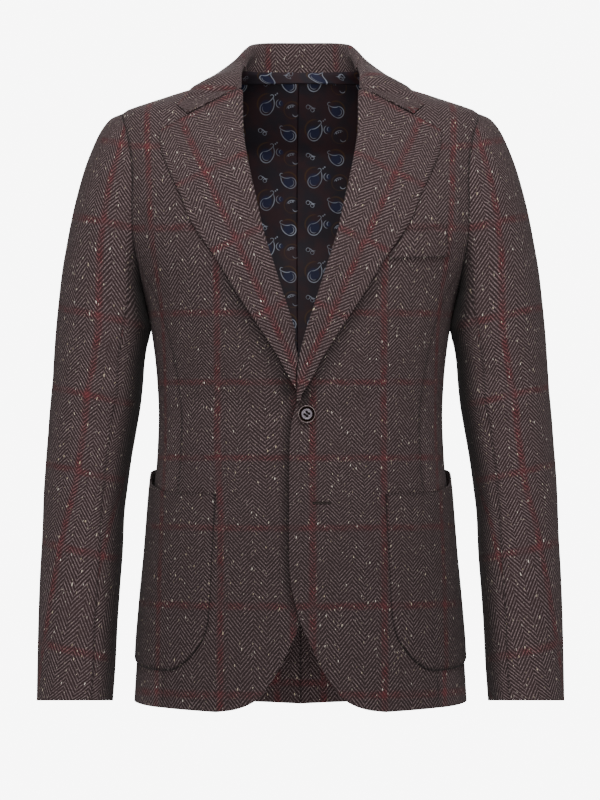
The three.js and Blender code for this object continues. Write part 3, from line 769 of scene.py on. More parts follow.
def sleeve_weave(grid, under):
    """Across: length round the level section from the line of the weave; up: along the lean of
    the arm."""
    x, y, z = (grid[..., i] for i in range(3))
    outer = through(SLEEVE[:, 1], SLEEVE[:, 0], z)
    inner = through(SLEEVE[:, 3], SLEEVE[:, 2], z)
    depth = through(SLEEVE[:, 1], SLEEVE[:, 4], z)
    shift = through(SLEEVE[:, 1], SLEEVE[:, 5], z)
    middle, half = (outer + inner) / 2, (outer - inner) / 2
    turn = np.arctan2((y - shift) / depth, (x - middle) / half)
    turn = np.where(turn < -1.2 if under else turn < -2.9, turn + 2 * math.pi, turn)
    line = -np.arccos(np.clip((at(SLEEVE_LINE, "x", z) - middle) / half, -0.98, 0.98))
    part = ((np.arange(24) + 0.5) / 24).reshape(-1, 1, 1)
    between = mix(line, turn, part)
    pace = np.hypot(half * np.sin(between), depth * np.cos(between)).mean(axis=0)
    across = pace * (turn - line) * math.cos(SLEEVE_LEAN)
    up = at(SLEEVE_LEVELS, "v", z * math.cos(SLEEVE_LEAN) - x * math.sin(SLEEVE_LEAN))
    return np.stack([across + 14, up], axis=-1)


class BLAZER_OT_sleeves(bpy.types.Operator):
    """Two-piece sleeves: top and under sleeve on each side"""

    bl_idname = "blazer.sleeves"
    bl_label = "Sleeves"

    def execute(self, context):
        parts = (
            ("top", SLEEVE_FORE, SLEEVE_AFT, 74, (0.24, 0.7), 0.14),
            ("under", SLEEVE_AFT, 360 + SLEEVE_FORE, 44, (0.15, 0.6), 0.065),
        )
        for side in (1, -1):
            for part, start, end, cols, flat, area in parts:
                grid, lie = sleeve_grid(start, end, cols)
                weave = sleeve_weave(grid, part == "under")
                edges = [through(SLEEVE[:, i + 1], SLEEVE[:, i], grid[..., 2]) for i in (0, 2)]
                inward = (grid[..., 0] - edges[1]) / (edges[0] - edges[1])
                lift = sleeve_creases(grid, side)
                name = f"sleeve_{word(side)}_{part}"
                z = grid[..., 2]
                close = smooth((z + 292) / 14) * smooth((-236 - z) / 14)
                lift = lift + np.interp(z, (-285, -250), (3.7, 2.1)) * close * (1 - smooth(inward / 0.3))
                # painted shade on the side of the sleeve turned to the body, from the armhole down, weaker towards the
                # cuff
                painted_shade = mix(0.04, 1, smooth((inward - 0.02) / 0.22)) * np.ones_like(lift)
                painted_shade = mix(1, painted_shade, smooth((-148 - z) / 50) * mix(0.8, 1, smooth((z + 520) / 160)))
                mid = grid + lie * (lift - TWEED / 2)[..., None]
                made = shell(name + "_cloth", mirrored(mid, side), TWEED, mirrored(weave, side),
                             seams=(0.4, 0.4, 0.0, 0.6), painted_shade=mirrored(painted_shade, side))
                finish(made, name, tweed())
        return {"FINISHED"}


# ---------------------------------------------------------------- pockets, lining and button


class BLAZER_OT_pockets(bpy.types.Operator):
    """Patch pockets at the hips and the welt of the chest pocket"""

    bl_idname = "blazer.pockets"
    bl_label = "Pockets"

    def execute(self, context):
        key = np.arange(len(POCKET["angle"]))
        fine = np.concatenate([[0, 0.1], np.linspace(0.3, 12.8, 60), [12.95, 13]])
        angle, bottom, top = (through(key, POCKET[n], fine)[None] for n in ("angle", "bottom", "top"))
        z = mix(bottom, top, spread(70, 200)[:, None])
        angle = angle + 0 * z
        gape = smooth((angle - 70) / 17) * (1 - smooth((angle - 90.5) / 4.5)) * smooth((z + 560) / 111)
        flat = body(angle, z)
        across = np.linalg.norm(np.diff(flat, axis=1, prepend=flat[:, :1]), axis=-1).cumsum(axis=1)
        height = np.linalg.norm(np.diff(flat, axis=0, prepend=flat[:1]), axis=-1).cumsum(axis=0)
        sewn = np.minimum(np.minimum(across, across[:, -1:] - across), height)
        rise = mix(-0.2, REST + TURNED / 2, smooth(sewn / 3)) + 0.5 * smooth(sewn / 30)
        for side in (1, -1):
            mid = body(angle, z, rise + 3.2 * gape + body_creases(angle, z, side))
            weave = body_weave(angle, z)
            weave[..., 0] += (5 if side < 0 else 0) * smooth((-420 - z) / 90)
            # painted shade down the front and in the groove along the pocket's sewn edges
            made = shell(f"pocket_cloth_{word(side)}", mirrored(mid, side), TURNED, mirrored(weave, side),
                         seams=(0.5, 0.5, 0.5, 0.35), painted_shade=mirrored(fade(z) * mix(0.2, 1, smooth(sewn / 5)), side))
            finish(made, f"pocket_{word(side)}", tweed())
        u, v = np.meshgrid(spread(20, 60), spread(16, 34), indexing="xy")
        x = mix(mix(CHEST_BOTTOM[0], CHEST_BOTTOM[2], u), mix(CHEST_TOP[0], CHEST_TOP[2], u), v)
        z = mix(mix(CHEST_BOTTOM[1], CHEST_BOTTOM[3], u), mix(CHEST_TOP[1], CHEST_TOP[3], u), v)
        angle = angle_at_x(x, z)
        mid = body(angle, z, REST + TURNED / 2 + body_creases(angle, z, 1))
        made = shell("pocket_chest_cloth", mid, TURNED, body_weave(angle, z), seams=(0.5, 0.5, 0.5, 0.5))
        finish(made, "pocket_chest", tweed())
        return {"FINISHED"}


class BLAZER_OT_lining(bpy.types.Operator):
    """Lining of the upper back, with its pleat, and the band under the collar"""

    bl_idname = "blazer.lining"
    bl_label = "Lining"

    def execute(self, context):
        z, part = np.meshgrid(np.linspace(LINING_FOOT, 13.5, 90), np.linspace(1, 8, 60) / 8, indexing="ij")
        for side in (1, -1):
            angle = mix(aft_limit(z), BACK_CENTRE, part)
            angle = angle + (7 if side > 0 else -1.7) * smooth((part - 0.8) / 0.2)
            over = 1.4 * smooth((angle - 164) / 8) if side < 0 else 0
            mid = body(angle, z, -TWEED - REST - 1.6 * smooth((z + 75) / 30) - over - LINING / 2)
            from_centre = girth(np.full_like(angle, 180.0), z) - girth(np.minimum(angle, 360 - angle), z)
            from_centre = np.where(angle > 180, girth(angle - 180, z) * 0 - (angle - 180) * 2.0, from_centre)
            weave = np.stack([side * from_centre + (0 if side > 0 else 27), z + (0 if side > 0 else 24)], axis=-1)
            made = shell(f"lining_silk_{word(side)}", mirrored(mid, side), LINING, mirrored(weave, side),
                         (0.5, 0.5, 0.5, 0.5))
            finish(made, f"lining_{word(side)}", paisley())
        row = np.linspace(0, 6, 46)
        angle = fold_value("seatAngle", row)
        foot = body(angle, 12.5 + 0 * row, np.full(row.shape, -TWEED - REST - LINING - 3.2))
        seat = body(angle, 18.0 + 0 * row, np.full(row.shape, -TWEED / 2))
        out = unit(seat * np.array([1.0, 1.0, 0.0]))
        neck = seat - 2.2 * out + np.array([0, 0, 1.2])
        head = neck - 0.1 * out + np.array([0, 0, 3.2])
        mid = around_back(through(np.arange(3), np.stack([foot, neck, head]), np.linspace(0, 2, 17)).transpose(1, 0, 2))
        length = np.cumsum(np.linalg.norm(np.diff(mid, axis=1, prepend=mid[:, :1]), axis=-1), axis=1)
        height = np.cumsum(np.linalg.norm(np.diff(mid, axis=0, prepend=mid[:1]), axis=-1), axis=0)
        made = shell("lining_band_silk", mid, 0.7, np.stack([length + 20, height + 30], axis=-1), (0.35,) * 4)
        finish(made, "lining_band", paisley())
        return {"FINISHED"}


BUTTON_SECTION = table("r h", [
    (0, 2.0), (4.3, 2.2), (5.6, 2.9), (6.1, 2.6), (6.6, 1.6), (8.3, 1.6), (8.9, 2.7), (9.3, 3.7), (9.65, 3.8),
    (9.95, 3.0), (10.0, 1.9), (9.5, 0.9), (8.4, 0.15), (0, 0.1),
])
HOLE_RING, HOLE_RADIUS, HOLE_TURN = 2.6, 1.4, 8.0


def stood_on(places, x, z, off):
    """Points given by across, up and out, turned to stand on the front at a place."""
    seat = body(angle_at_x(x, z), z, np.asarray(off))
    out = unit(body(angle_at_x(x, z), z, np.asarray(1.0)) - body(angle_at_x(x, z), z, np.asarray(0.0)))
    across = unit(np.cross(out, [0, 0, 1.0]))
    across = across * np.sign(across[0])
    up = np.cross(across, -out)
    up = up * np.sign(up[2])
    return seat + places[..., :1] * across + places[..., 1:2] * up + places[..., 2:] * out


def tube(path, radius, sides=10):
    """Round tube along a path, drawn in to nothing at both ends."""
    along = unit(np.gradient(path, axis=0))
    beside = unit(np.cross(along, [0.3, 0.2, 1.0]))
    other = np.cross(along, beside)
    turn = np.linspace(0, 2 * math.pi, sides, endpoint=False)
    t = np.linspace(0, 1, len(path))
    thick = radius * np.sqrt(np.clip(1 - (2 * t - 1) ** 8, 0, 1))
    ring_of = np.cos(turn)[None, :, None] * beside[:, None] + np.sin(turn)[None, :, None] * other[:, None]
    places = path[:, None] + thick[:, None, None] * ring_of
    k = np.arange(len(path) * sides).reshape(-1, sides)
    n = np.roll(k, -1, axis=1)
    quads = np.stack([k[:-1], n[:-1], n[1:], k[1:]], axis=-1).reshape(-1, 4)
    return places.reshape(-1, 3), quads


class BLAZER_OT_button(bpy.types.Operator):
    """Four-hole button with a raised rim, sewn on with two bars of thread"""

    bl_idname = "blazer.button"
    bl_label = "Button"

    def execute(self, context):
        key = np.arange(len(BUTTON_SECTION["r"]))
        fine = np.linspace(0, key[-1], 90)
        r = through(key, BUTTON_SECTION["r"], fine)[:, None]
        h = through(key, BUTTON_SECTION["h"], fine)[:, None]
        turn = np.linspace(0, 2 * math.pi, 96, endpoint=False)[None]
        x, y = r * np.cos(turn), r * np.sin(turn)
        h = h + 0 * x
        holes = np.radians(HOLE_TURN + 90 * np.arange(4))
        top = fine[:, None] < 3
        for hx, hy in zip(HOLE_RING * np.cos(holes), HOLE_RING * np.sin(holes)):
            away = np.hypot(x - hx, y - hy)
            h = np.where(top, h - 1.9 * (1 - smooth((away - HOLE_RADIUS + 0.35) / 0.5)), h)
        places = np.stack([x, y, h], axis=-1)
        k = np.arange(places.size // 3).reshape(r.shape[0], -1)
        n = np.roll(k, -1, axis=1)
        quads = np.stack([k[:-1], k[1:], n[1:], n[:-1]], axis=-1).reshape(-1, 4)
        seat = (BUTTON_X, BUTTON_Z, LAP_OUTER + 0.45)
        spot = np.stack([r + 0 * h, h], axis=-1).reshape(-1, 2)
        made = mesh_object("button_horn", stood_on(places.reshape(-1, 3), *seat), quads, spot)
        finish(made, "button", horn())
        t = np.linspace(0, 1, 25)[:, None]
        ends = HOLE_RING * np.stack([np.cos(holes), np.sin(holes)], axis=-1)
        bars = [(np.hstack([mix(ends[a], ends[b], t), 0.6 + 2.35 * np.sin(math.pi * t) ** 0.35]), 0.9)
                for a, b in ((1, 0), (2, 3))]
        shank = np.hstack([0 * t, 0 * t, mix(-1.6, 0.6, t)])
        for number, (path, thick) in enumerate((*bars, (shank, 2.4))):
            places, quads = tube(path, thick)
            made = mesh_object(f"button_thread_{number}", stood_on(places, *seat), quads)
            made.data.materials.append(thread())
            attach(made, "root")
        return {"FINISHED"}


class BLAZER_OT_buttonhole(bpy.types.Operator):
    """Closed lower buttonhole, worked in thread on the left front"""

    bl_idname = "blazer.buttonhole"
    bl_label = "Lower buttonhole"

    def execute(self, context):
        t = np.linspace(0, 1, 160)
        for number, lane in enumerate((0.75, -0.75)):
            x = mix(13.5, 34.5, t)
            z = -483.0 + lane + 0.28 * np.sin(t * 2 * math.pi * 24)
            off = LAP_OUTER * (1 - smooth((x - LAP_FULL) / (LAP_NONE - LAP_FULL))) + 0.25
            angle = angle_at_x(x, z)
            path = body(angle, z, off + body_creases(angle, z, 1))
            places, quads = tube(path, 0.62, 8)
            made = mesh_object(f"buttonhole_edge_{number}", places, quads)
            made.data.materials.append(buttonhole_thread())
            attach(made, "root")
        return {"FINISHED"}


# ---------------------------------------------------------------- materials


class Shader:
    """Adds nodes and links to a material in one call each."""

    def __init__(self, name):
        self.material = bpy.data.materials.new(name)
        self.material.use_nodes = True
        self.tree = self.material.node_tree
        self.surface = self.tree.nodes["Principled BSDF"]

    def add(self, kind, output=0, inputs=None, **settings):
        node = self.tree.nodes.new(kind)
        for key, value in settings.items():
            setattr(node, key, value)
        for key, value in (inputs or {}).items():
            self.put(node.inputs[key], value)
        return node.outputs[output]

    def put(self, socket, value):
        if isinstance(value, bpy.types.NodeSocket):
            self.tree.links.new(value, socket)
        else:
            socket.default_value = value

    def math(self, operation, *values):
        return self.add("ShaderNodeMath", inputs=dict(enumerate(values)), operation=operation)

    def ramp(self, value, low, high, to_low=0.0, to_high=1.0):
        """Smooth step of a value between two limits."""
        inputs = {"Value": value, "From Min": low, "From Max": high, "To Min": to_low, "To Max": to_high}
        return self.add("ShaderNodeMapRange", inputs=inputs, interpolation_type="SMOOTHSTEP")

    def blend(self, part, a, b):
        node = self.tree.nodes.new("ShaderNodeMix")
        node.data_type = "RGBA"
        self.put(node.inputs["Factor"], part)
        self.put(node.inputs[6], a)
        self.put(node.inputs[7], b)
        return node.outputs[2]


def made_once(name, build):
    """A material that several pieces share."""
    return bpy.data.materials.get(name) or build(name)


def tweed():
    return made_once("Herringbone tweed", build_tweed)


def build_tweed(name):
    s = Shader(name)
    cloth = bpy.context.scene.blazer_cloth
    place = s.add("ShaderNodeUVMap", uv_map="Weave")
    xyz = s.tree.nodes.new("ShaderNodeSeparateXYZ")
    s.put(xyz.inputs[0], place)
    u, v = xyz.outputs[0], xyz.outputs[1]
    wobble = s.add("ShaderNodeTexNoise", inputs={"Vector": place, "Scale": 70.0, "Detail": 2.0})
    wobble = s.math("MULTIPLY", s.math("SUBTRACT", wobble, 0.5), 0.0016)
    across = s.math("ADD", u, wobble)
    zigzag = s.math("PINGPONG", across, cloth.column)
    turned = s.math("MODULO", s.math("FLOOR", s.math("DIVIDE", s.math("ADD", across, 100 * cloth.column), cloth.column)), 2.0)
    climb_up = s.math("ADD", s.math("ADD", v, wobble), s.math("MULTIPLY", zigzag, cloth.steepness))
    phase = s.math("ADD", s.math("DIVIDE", climb_up, cloth.pitch), s.math("MULTIPLY", turned, 0.3))
    line = s.ramp(s.math("PINGPONG", phase, 0.5), 0.22, 0.42)
    # yarn along the diagonals: beads where it comes over, thin where it goes under
    grain = s.add("ShaderNodeTexNoise", inputs={"Vector": place, "Scale": 560.0, "Detail": 2.0, "Roughness": 0.6})
    beads = s.ramp(grain, 0.42, 0.58, 0.3, 1.0)
    yarn_part = s.math("MULTIPLY", line, beads)

    def stripe(coordinate, offset, period, half):
        away = s.math("PINGPONG", s.math("SUBTRACT", coordinate, offset), period / 2)
        return s.ramp(away, half * 0.3, half * 1.35, 1.0, 0.0)

    patchy = s.add("ShaderNodeTexNoise", inputs={"Vector": place, "Scale": 60.0, "Detail": 3.0})
    patchy = s.ramp(patchy, 0.32, 0.66, 0.25, 1.0)
    upright = s.math("MULTIPLY", stripe(u, 0.014, cloth.check_width, 0.0046), patchy)
    level = s.math("MULTIPLY", stripe(v, 0.0, cloth.check_height, 0.0044), s.math("MULTIPLY", patchy, 0.8))
    either = s.math("MAXIMUM", upright, level)
    both = s.math("MULTIPLY", upright, level)
    broad = s.add("ShaderNodeTexNoise", inputs={"Vector": place, "Scale": 35.0, "Detail": 4.0})
    ground = s.blend(s.ramp(broad, 0.35, 0.7), (*cloth.ground, 1), (*[c * 1.3 for c in cloth.ground], 1))
    ground = s.blend(s.math("MULTIPLY", either, 0.5), ground, (*cloth.check_dark, 1))
    yarn = s.blend(s.ramp(broad, 0.3, 0.75), (*cloth.yarn, 1), (*[c * 0.74 for c in cloth.yarn], 1))
    yarn = s.blend(s.math("MULTIPLY", either, 0.72), yarn, (*cloth.check, 1))
    colour = s.blend(yarn_part, ground, yarn)
    colour = s.blend(s.math("MULTIPLY", both, 0.4), colour, (*cloth.check, 1))

    # neps: short slubs lying along the diagonals, a few large and many small
    bump_up = s.math("MULTIPLY", line, 0.6)
    along = s.tree.nodes.new("ShaderNodeCombineXYZ")
    s.put(along.inputs[0], s.math("MULTIPLY", u, 1.9))
    s.put(along.inputs[1], s.math("MULTIPLY", climb_up, 0.72))
    for scale, chance_of, least, most, strength in ((61.0, 0.46, 0.026, 0.066, 1.0), (125.0, 0.42, 0.04, 0.11, 0.5)):
        cells = s.tree.nodes.new("ShaderNodeTexVoronoi")
        cells.voronoi_dimensions = "2D"
        s.put(cells.inputs["Vector"], along.outputs[0])
        s.put(cells.inputs["Scale"], scale)
        chance = s.tree.nodes.new("ShaderNodeSeparateColor")
        s.put(chance.inputs[0], cells.outputs["Color"])
        size = s.math("ADD", s.math("MULTIPLY", chance.outputs[1], most - least), least)
        spot = s.math("LESS_THAN", cells.outputs["Distance"], size)
        crowd = s.ramp(patchy, 0.4, 0.95, 0.2, 1.5)
        spot = s.math("MULTIPLY", spot, s.math("LESS_THAN", chance.outputs[0], s.math("MULTIPLY", crowd, chance_of)))
        nep = s.blend(chance.outputs[2], (0.82, 0.75, 0.66, 1), (0.60, 0.49, 0.32, 1))
        colour = s.blend(s.math("MULTIPLY", spot, strength), colour, nep)
        bump_up = s.math("ADD", bump_up, s.math("MULTIPLY", spot, 0.7))
    # painted shade: the Shade attribute darkens the cloth towards near black in seams, under edges, between the sleeves
    # and the body and down the front
    shade = s.add("ShaderNodeAttribute", output=2, attribute_name="Shade")
    colour = s.blend(s.math("SUBTRACT", 1.0, shade), colour, (0.002, 0.0014, 0.0015, 1))
    s.put(s.surface.inputs["Base Color"], colour)
    height = s.math("ADD", bump_up, s.math("MULTIPLY", beads, 0.45))
    bump = s.add("ShaderNodeBump", inputs={"Height": height, "Strength": 0.75, "Distance": 0.0007})
    s.put(s.surface.inputs["Normal"], bump)
    s.surface.inputs["Roughness"].default_value = 0.92
    s.surface.inputs["Specular IOR Level"].default_value = 0.2
    s.surface.inputs["Sheen Weight"].default_value = 0.04
    s.surface.inputs["Sheen Roughness"].default_value = 0.6
    s.surface.inputs["Sheen Tint"].default_value = (0.85, 0.8, 0.78, 1)
    return s.material


def paisley():
    return made_once("Paisley lining", build_paisley)


# The print, in millimetres in one repeat: strokes are arcs of circles that thin out at both ends.
REPEAT_ACROSS, REPEAT_UP = 62.0, 57.0


def drop(x, y, size, turn, bend):
    """Paisley drop round a place: head, back, hollow, curled tip and a second line inside, each an arc
    given by its centre, radius, direction, half span and half width."""
    c, s = math.cos(turn), math.sin(turn)
    arcs = (
        (0.0, 0.0, 1.0, -95, 118, 0.52), (-1.2, 0.1, 2.2, 30, 38, 0.5), (-2.0, 1.75, 1.72, -19, 33, 0.45),
        (-0.55, 2.09, 0.3, 90, 110, 0.4), (0.0, 0.05, 0.66, -95, 75, 0.3),
    )
    made = []
    for ax, ay, radius, facing, span, width in arcs:
        ax, facing = ax * bend, math.radians(facing if bend > 0 else 180 - facing)
        made.append((x + size * (ax * c - ay * s), y + size * (ax * s + ay * c), size * radius,
                     facing + turn, math.radians(span), width))
    return made


STROKES = (
    drop(16, 10, 7.2, -0.7, 1) + drop(45, 36, 6.6, 1.1, -1)
    + [(9, 42, 2.3, 1, 3.4, 0.32), (14.2, 38.4, 2.1, 1, 3.4, 0.32), (7, 36, 8.5, 0.75, 0.42, 0.4),
       (17, 47, 6.5, -2.0, 0.6, 0.4), (47, 8, 6.8, 1.9, 0.9, 0.4), (51, 5, 3.4, 4.6, 1.3, 0.4),
       (33, 16, 5.0, 3.3, 1.3, 0.4), (34.5, 16.5, 2.6, 3.0, 1.2, 0.3)]
    + [(x, y, 0.45, 0, 4.0, 0.4) for x, y in ((43, 11.5), (45.3, 12.6), (47.8, 13.1), (27, 26), (29, 27.6))]
)
PATCHES = ((16, 13, 7.5), (43, 37, 7.0), (33, 16, 3.5))
HALOS = ((17, 16, 11.5, 2.6, 1.2, 0.8), (42, 38, 10.8, 0.9, 1.2, 0.8), (47, 9, 9.5, 1, 3.4, 0.5))


def build_paisley(name):
    s = Shader(name)
    lining = bpy.context.scene.blazer_lining
    place = s.add("ShaderNodeUVMap", uv_map="Weave")
    xyz = s.tree.nodes.new("ShaderNodeSeparateXYZ")
    s.put(xyz.inputs[0], place)
    u, v = s.math("MULTIPLY", xyz.outputs[0], 1000.0), s.math("MULTIPLY", xyz.outputs[1], 1000.0)

    def away_from(x, y):
        du = s.math("WRAP", s.math("SUBTRACT", u, x), REPEAT_ACROSS / 2, -REPEAT_ACROSS / 2)
        dv = s.math("WRAP", s.math("SUBTRACT", v, y), REPEAT_UP / 2, -REPEAT_UP / 2)
        squares = s.math("ADD", s.math("MULTIPLY", du, du), s.math("MULTIPLY", dv, dv))
        return du, dv, s.math("SQRT", squares)

    def stroke(x, y, radius, facing, span, width, soft=0.3):
        """1 within width (1 - (turn/span)^4) of the circle, 0 beyond it."""
        du, dv, distance = away_from(x, y)
        turn = s.math("WRAP", s.math("SUBTRACT", s.math("ARCTAN2", dv, du), facing), math.pi, -math.pi)
        turn = s.math("POWER", s.math("DIVIDE", turn, span), 4.0)
        reach = s.math("MULTIPLY", s.math("SUBTRACT", 1.0, turn), width)
        off = s.math("SUBTRACT", s.math("ABSOLUTE", s.math("SUBTRACT", distance, radius)), reach)
        return s.ramp(off, -soft, soft, 1.0, 0.0)

    broad = s.add("ShaderNodeTexNoise", inputs={"Vector": place, "Scale": 40.0, "Detail": 3.0})
    colour = s.blend(s.ramp(broad, 0.38, 0.62), (*lining.ground, 1), (*lining.shade, 1))
    for x, y, radius in PATCHES:
        inside = s.ramp(away_from(x, y)[2], radius * 0.7, radius * 1.2, 0.85, 0.0)
        colour = s.blend(inside, colour, (*lining.fill, 1))
    for halo in HALOS:
        colour = s.blend(s.math("MULTIPLY", stroke(*halo, soft=0.9), 0.6), colour, (*lining.halo, 1))
    drawn = 0.0
    for mark in STROKES:
        drawn = s.math("MAXIMUM", stroke(*mark), drawn)
    faded = s.math("MULTIPLY", drawn, s.ramp(broad, 0.3, 0.6, 1.0, 0.45))
    colour = s.blend(faded, colour, (*lining.outline, 1))
    s.put(s.surface.inputs["Base Color"], colour)
    rib = s.add("ShaderNodeTexNoise", inputs={"Vector": place, "Scale": 1400.0, "Detail": 1.0})
    s.put(s.surface.inputs["Normal"], s.add("ShaderNodeBump", inputs={"Height": rib, "Strength": 0.25, "Distance": 0.0002}))
    s.surface.inputs["Roughness"].default_value = 0.6
    s.surface.inputs["Specular IOR Level"].default_value = 0.15
    return s.material


def horn():
    return made_once("Dark horn", build_horn)


def build_horn(name):
    s = Shader(name)
    xyz = s.tree.nodes.new("ShaderNodeSeparateXYZ")
    s.put(xyz.inputs[0], s.add("ShaderNodeUVMap", uv_map="Weave"))
    radius = xyz.outputs[0]
    place = s.add("ShaderNodeTexCoord", output=3)
    streak = s.add("ShaderNodeTexNoise", inputs={"Vector": place, "Scale": 260.0, "Detail": 3.0, "Distortion": 1.2})
    disc = s.blend(s.ramp(streak, 0.35, 0.65), (0.15, 0.128, 0.15, 1), (0.235, 0.205, 0.24, 1))
    rim = s.blend(s.ramp(streak, 0.35, 0.65), (0.15, 0.110, 0.108, 1), (0.26, 0.205, 0.200, 1))
    # near black in the groove round the disc, and painted shade in the holes, dark by their depth
    dark = s.math("MAXIMUM", s.ramp(radius, 0.0059, 0.0064), s.ramp(xyz.outputs[1], 0.0012, 0.0018, 1.0, 0.0))
    colour = s.blend(dark, disc, (0.008, 0.0038, 0.0030, 1))
    # the raised rim paler: its own lighter tone together with a painted highlight along it
    colour = s.blend(s.ramp(radius, 0.0089, 0.0093), colour, rim)
    s.put(s.surface.inputs["Base Color"], colour)
    groove = s.math("MULTIPLY", dark, s.ramp(radius, 0.0089, 0.0093, 1.0, 0.0))
    s.put(s.surface.inputs["Roughness"], s.math("ADD", s.math("MULTIPLY", groove, 0.5), 0.35))
    s.put(s.surface.inputs["Specular IOR Level"], s.math("SUBTRACT", 0.45, s.math("MULTIPLY", groove, 0.42)))
    return s.material


def thread():
    return made_once("Sewing thread", build_thread)


def buttonhole_thread():
    return made_once("Buttonhole thread", lambda name: build_thread(name, (0.017, 0.013, 0.012), (0.040, 0.030, 0.028)))


def build_thread(name, low=(0.004, 0.003, 0.003), high=(0.014, 0.010, 0.009)):
    s = Shader(name)
    place = s.add("ShaderNodeTexCoord", output=3)
    twist = s.add("ShaderNodeTexNoise", inputs={"Vector": place, "Scale": 1800.0, "Detail": 1.0})
    s.put(s.surface.inputs["Base Color"], s.blend(twist, (*low, 1), (*high, 1)))
    s.surface.inputs["Roughness"].default_value = 0.8
    s.surface.inputs["Specular IOR Level"].default_value = 0.1
    return s.material


def build_stage_finish(name):
    s = Shader(name)
    s.surface.inputs["Base Color"].default_value = (0.9, 0.9, 0.9, 1)
    s.surface.inputs["Roughness"].default_value = 0.9
    s.surface.inputs["Emission Color"].default_value = (1, 1, 1, 1)
    # as pale as the backdrop to look at, without lighting the cloth from below
    s.put(s.surface.inputs["Emission Strength"], s.math("MULTIPLY", s.add("ShaderNodeLightPath"), 7.7))
    return s.material


# ---------------------------------------------------------------- stage


class BLAZER_OT_stage(bpy.types.Operator):
    """Pale floor, soft studio light and the camera"""

    bl_idname = "blazer.stage"
    bl_label = "Stage"

    def execute(self, context):
        stage = context.scene.blazer_stage
        size = 6000.0
        corners = np.array([(-1, -1), (1, -1), (1, 1), (-1, 1)]) * size
        floor = np.hstack([corners, np.full((4, 1), stage.floor / MM)])
        made = mesh_object("Floor", floor, np.array([[0, 1, 2, 3]]))
        made.data.materials.append(build_stage_finish("Pale floor"))

        world = bpy.data.worlds.new("Studio")
        world.use_nodes = True
        nodes, links = world.node_tree.nodes, world.node_tree.links
        soft = nodes["Background"]
        soft.inputs["Strength"].default_value = stage.ambient
        soft.inputs["Color"].default_value = (1, 1, 1, 1)
        seen = nodes.new("ShaderNodeBackground")
        seen.inputs["Color"].default_value = (1, 1, 1, 1)
        seen.inputs["Strength"].default_value = stage.backdrop
        path, either = nodes.new("ShaderNodeLightPath"), nodes.new("ShaderNodeMixShader")
        links.new(path.outputs["Is Camera Ray"], either.inputs[0])
        links.new(soft.outputs[0], either.inputs[1])
        links.new(seen.outputs[0], either.inputs[2])
        links.new(either.outputs[0], nodes["World Output"].inputs[0])
        context.scene.world = world

        for name, place, size, power in (
            ("Key", (0.05, -1.15, 1.15), 0.9, stage.key * 1.25),
            ("Fill", (-0.2, -3.0, -0.9), 1.8, stage.key * 1.15),
            ("Side", (1.9, -1.5, -0.6), 1.2, stage.key * 0.3),
            ("Other side", (-1.9, -1.5, -0.6), 1.2, stage.key * 0.3),
            ("Back", (0.0, 2.6, 1.2), 1.8, stage.key * 2.6),
        ):
            light = bpy.data.lights.new(name, "AREA")
            light.shape, light.size, light.energy = "SQUARE", size, power
            lamp = bpy.data.objects.new(name, light)
            lamp.location = place
            lamp.rotation_euler = (Vector((0, 0, -0.2)) - Vector(place)).to_track_quat("-Z", "Y").to_euler()
            lamp.visible_camera = False
            context.scene.collection.objects.link(lamp)

        camera = bpy.data.cameras.new("Camera")
        camera.sensor_fit = "VERTICAL"
        camera.sensor_height = 36.0
        camera.lens = 36.0 * stage.distance / stage.view_height
        camera.clip_end = 50
        seat = bpy.data.objects.new("Camera", camera)
        seat.location = (stage.aim_x, -stage.distance, stage.aim_z)
        seat.rotation_euler = (math.pi / 2, 0, 0)
        context.scene.collection.objects.link(seat)
        context.scene.camera = seat
        return {"FINISHED"}


# ---------------------------------------------------------------- add-on


def length_property(name, text, default):
    return bpy.props.FloatProperty(name=name, description=text, default=default, unit="LENGTH", precision=4)


def colour_property(name, text, default):
    return bpy.props.FloatVectorProperty(
        name=name, description=text, default=default, subtype="COLOR", min=0, max=1, size=3)


class BlazerCloth(bpy.types.PropertyGroup):
    column: length_property("Column", "Width of one column of the herringbone", 0.0147)
    pitch: length_property("Pitch", "Height from one diagonal to the next", 0.00474)
    steepness: bpy.props.FloatProperty(name="Steepness", description="Rise of the diagonals", default=1.1)
    check_width: length_property("Check width", "From one upright line to the next", 0.084)
    check_height: length_property("Check height", "From one level line to the next", 0.090)
    ground: colour_property("Ground", "Dark yarn", (0.0245, 0.0140, 0.0144))
    yarn: colour_property("Yarn", "Light yarn", (0.205, 0.147, 0.150))
    check: colour_property("Check", "Red yarn of the check", (0.190, 0.030, 0.036))
    check_dark: colour_property("Check, dark", "Red yarn in the ground", (0.050, 0.0085, 0.0105))


class BlazerLining(bpy.types.PropertyGroup):
    ground: colour_property("Ground", "Cloth of the lining", (0.0190, 0.0150, 0.0205))
    shade: colour_property("Shade", "Darker warm shade in the cloth", (0.0300, 0.0150, 0.0180))
    outline: colour_property("Outline", "Outlines of the print", (0.30, 0.325, 0.39))
    fill: colour_property("Fill", "Inside of the drops", (0.0150, 0.0185, 0.0480))
    halo: colour_property("Halo", "Shaded rim round the drops", (0.075, 0.040, 0.014))


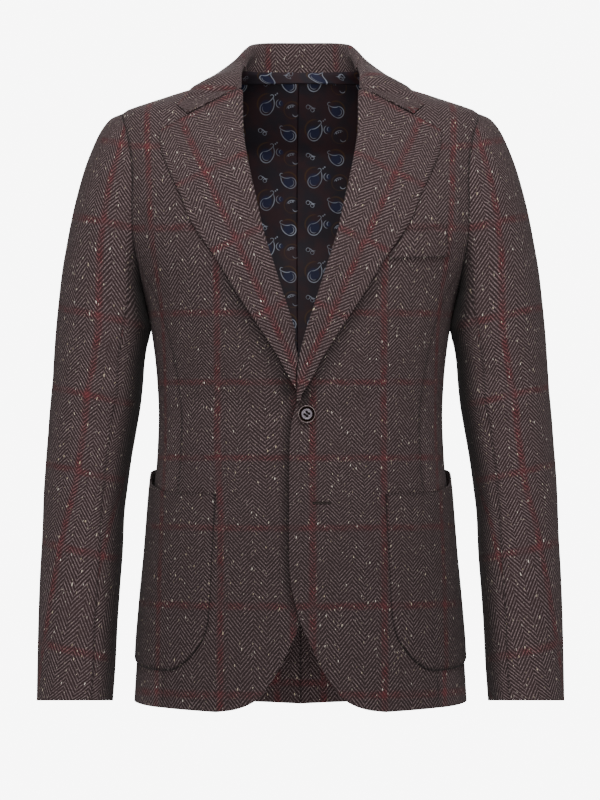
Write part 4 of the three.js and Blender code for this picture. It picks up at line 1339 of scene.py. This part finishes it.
class BlazerStage(bpy.types.PropertyGroup):
    floor: length_property("Floor", "Height of the floor", -1.75)
    distance: length_property("Distance", "From the camera to the blazer", 6.0)
    view_height: length_property("View height", "Height of the view at the blazer", 0.936)
    aim_x: length_property("Aim across", "Where the camera looks, across", -0.0006)
    aim_z: length_property("Aim height", "Where the camera looks, up", -0.365)
    key: bpy.props.FloatProperty(name="Key light", description="Power of the key light", default=26.0, unit="POWER")
    ambient: bpy.props.FloatProperty(name="Ambient", description="Strength of the surrounding light", default=0.26)
    backdrop: bpy.props.FloatProperty(name="Backdrop", description="Brightness of the backdrop", default=8.0)


OPERATORS = (
    BLAZER_OT_fronts, BLAZER_OT_sides, BLAZER_OT_backs, BLAZER_OT_lapels, BLAZER_OT_collar,
    BLAZER_OT_sleeves, BLAZER_OT_pockets, BLAZER_OT_lining, BLAZER_OT_button,
    BLAZER_OT_buttonhole, BLAZER_OT_stage,
)


class BLAZER_PT_panel(bpy.types.Panel):
    """Sizes, colours and pieces of the blazer"""

    bl_label = "Blazer"
    bl_idname = "BLAZER_PT_panel"
    bl_space_type = "VIEW_3D"
    bl_region_type = "UI"
    bl_category = "Blazer"

    def draw(self, context):
        scene = context.scene
        for group in (scene.blazer_cloth, scene.blazer_lining, scene.blazer_stage):
            for name in group.__annotations__:
                self.layout.prop(group, name)
        for operator in OPERATORS:
            self.layout.operator(operator.bl_idname)


GROUPS = {"blazer_cloth": BlazerCloth, "blazer_lining": BlazerLining, "blazer_stage": BlazerStage}


def register():
    for cls in (*GROUPS.values(), *OPERATORS, BLAZER_PT_panel):
        bpy.utils.register_class(cls)
    for name, group in GROUPS.items():
        setattr(bpy.types.Scene, name, bpy.props.PointerProperty(type=group))


def unregister():
    for name in GROUPS:
        delattr(bpy.types.Scene, name)
    for cls in reversed((*GROUPS.values(), *OPERATORS, BLAZER_PT_panel)):
        bpy.utils.unregister_class(cls)


def main():
    """Makes every piece in order."""
    register()
    for operator in OPERATORS:
        family, call = operator.bl_idname.split(".")
        getattr(getattr(bpy.ops, family), call)()


if __name__ == "__main__":
    main()
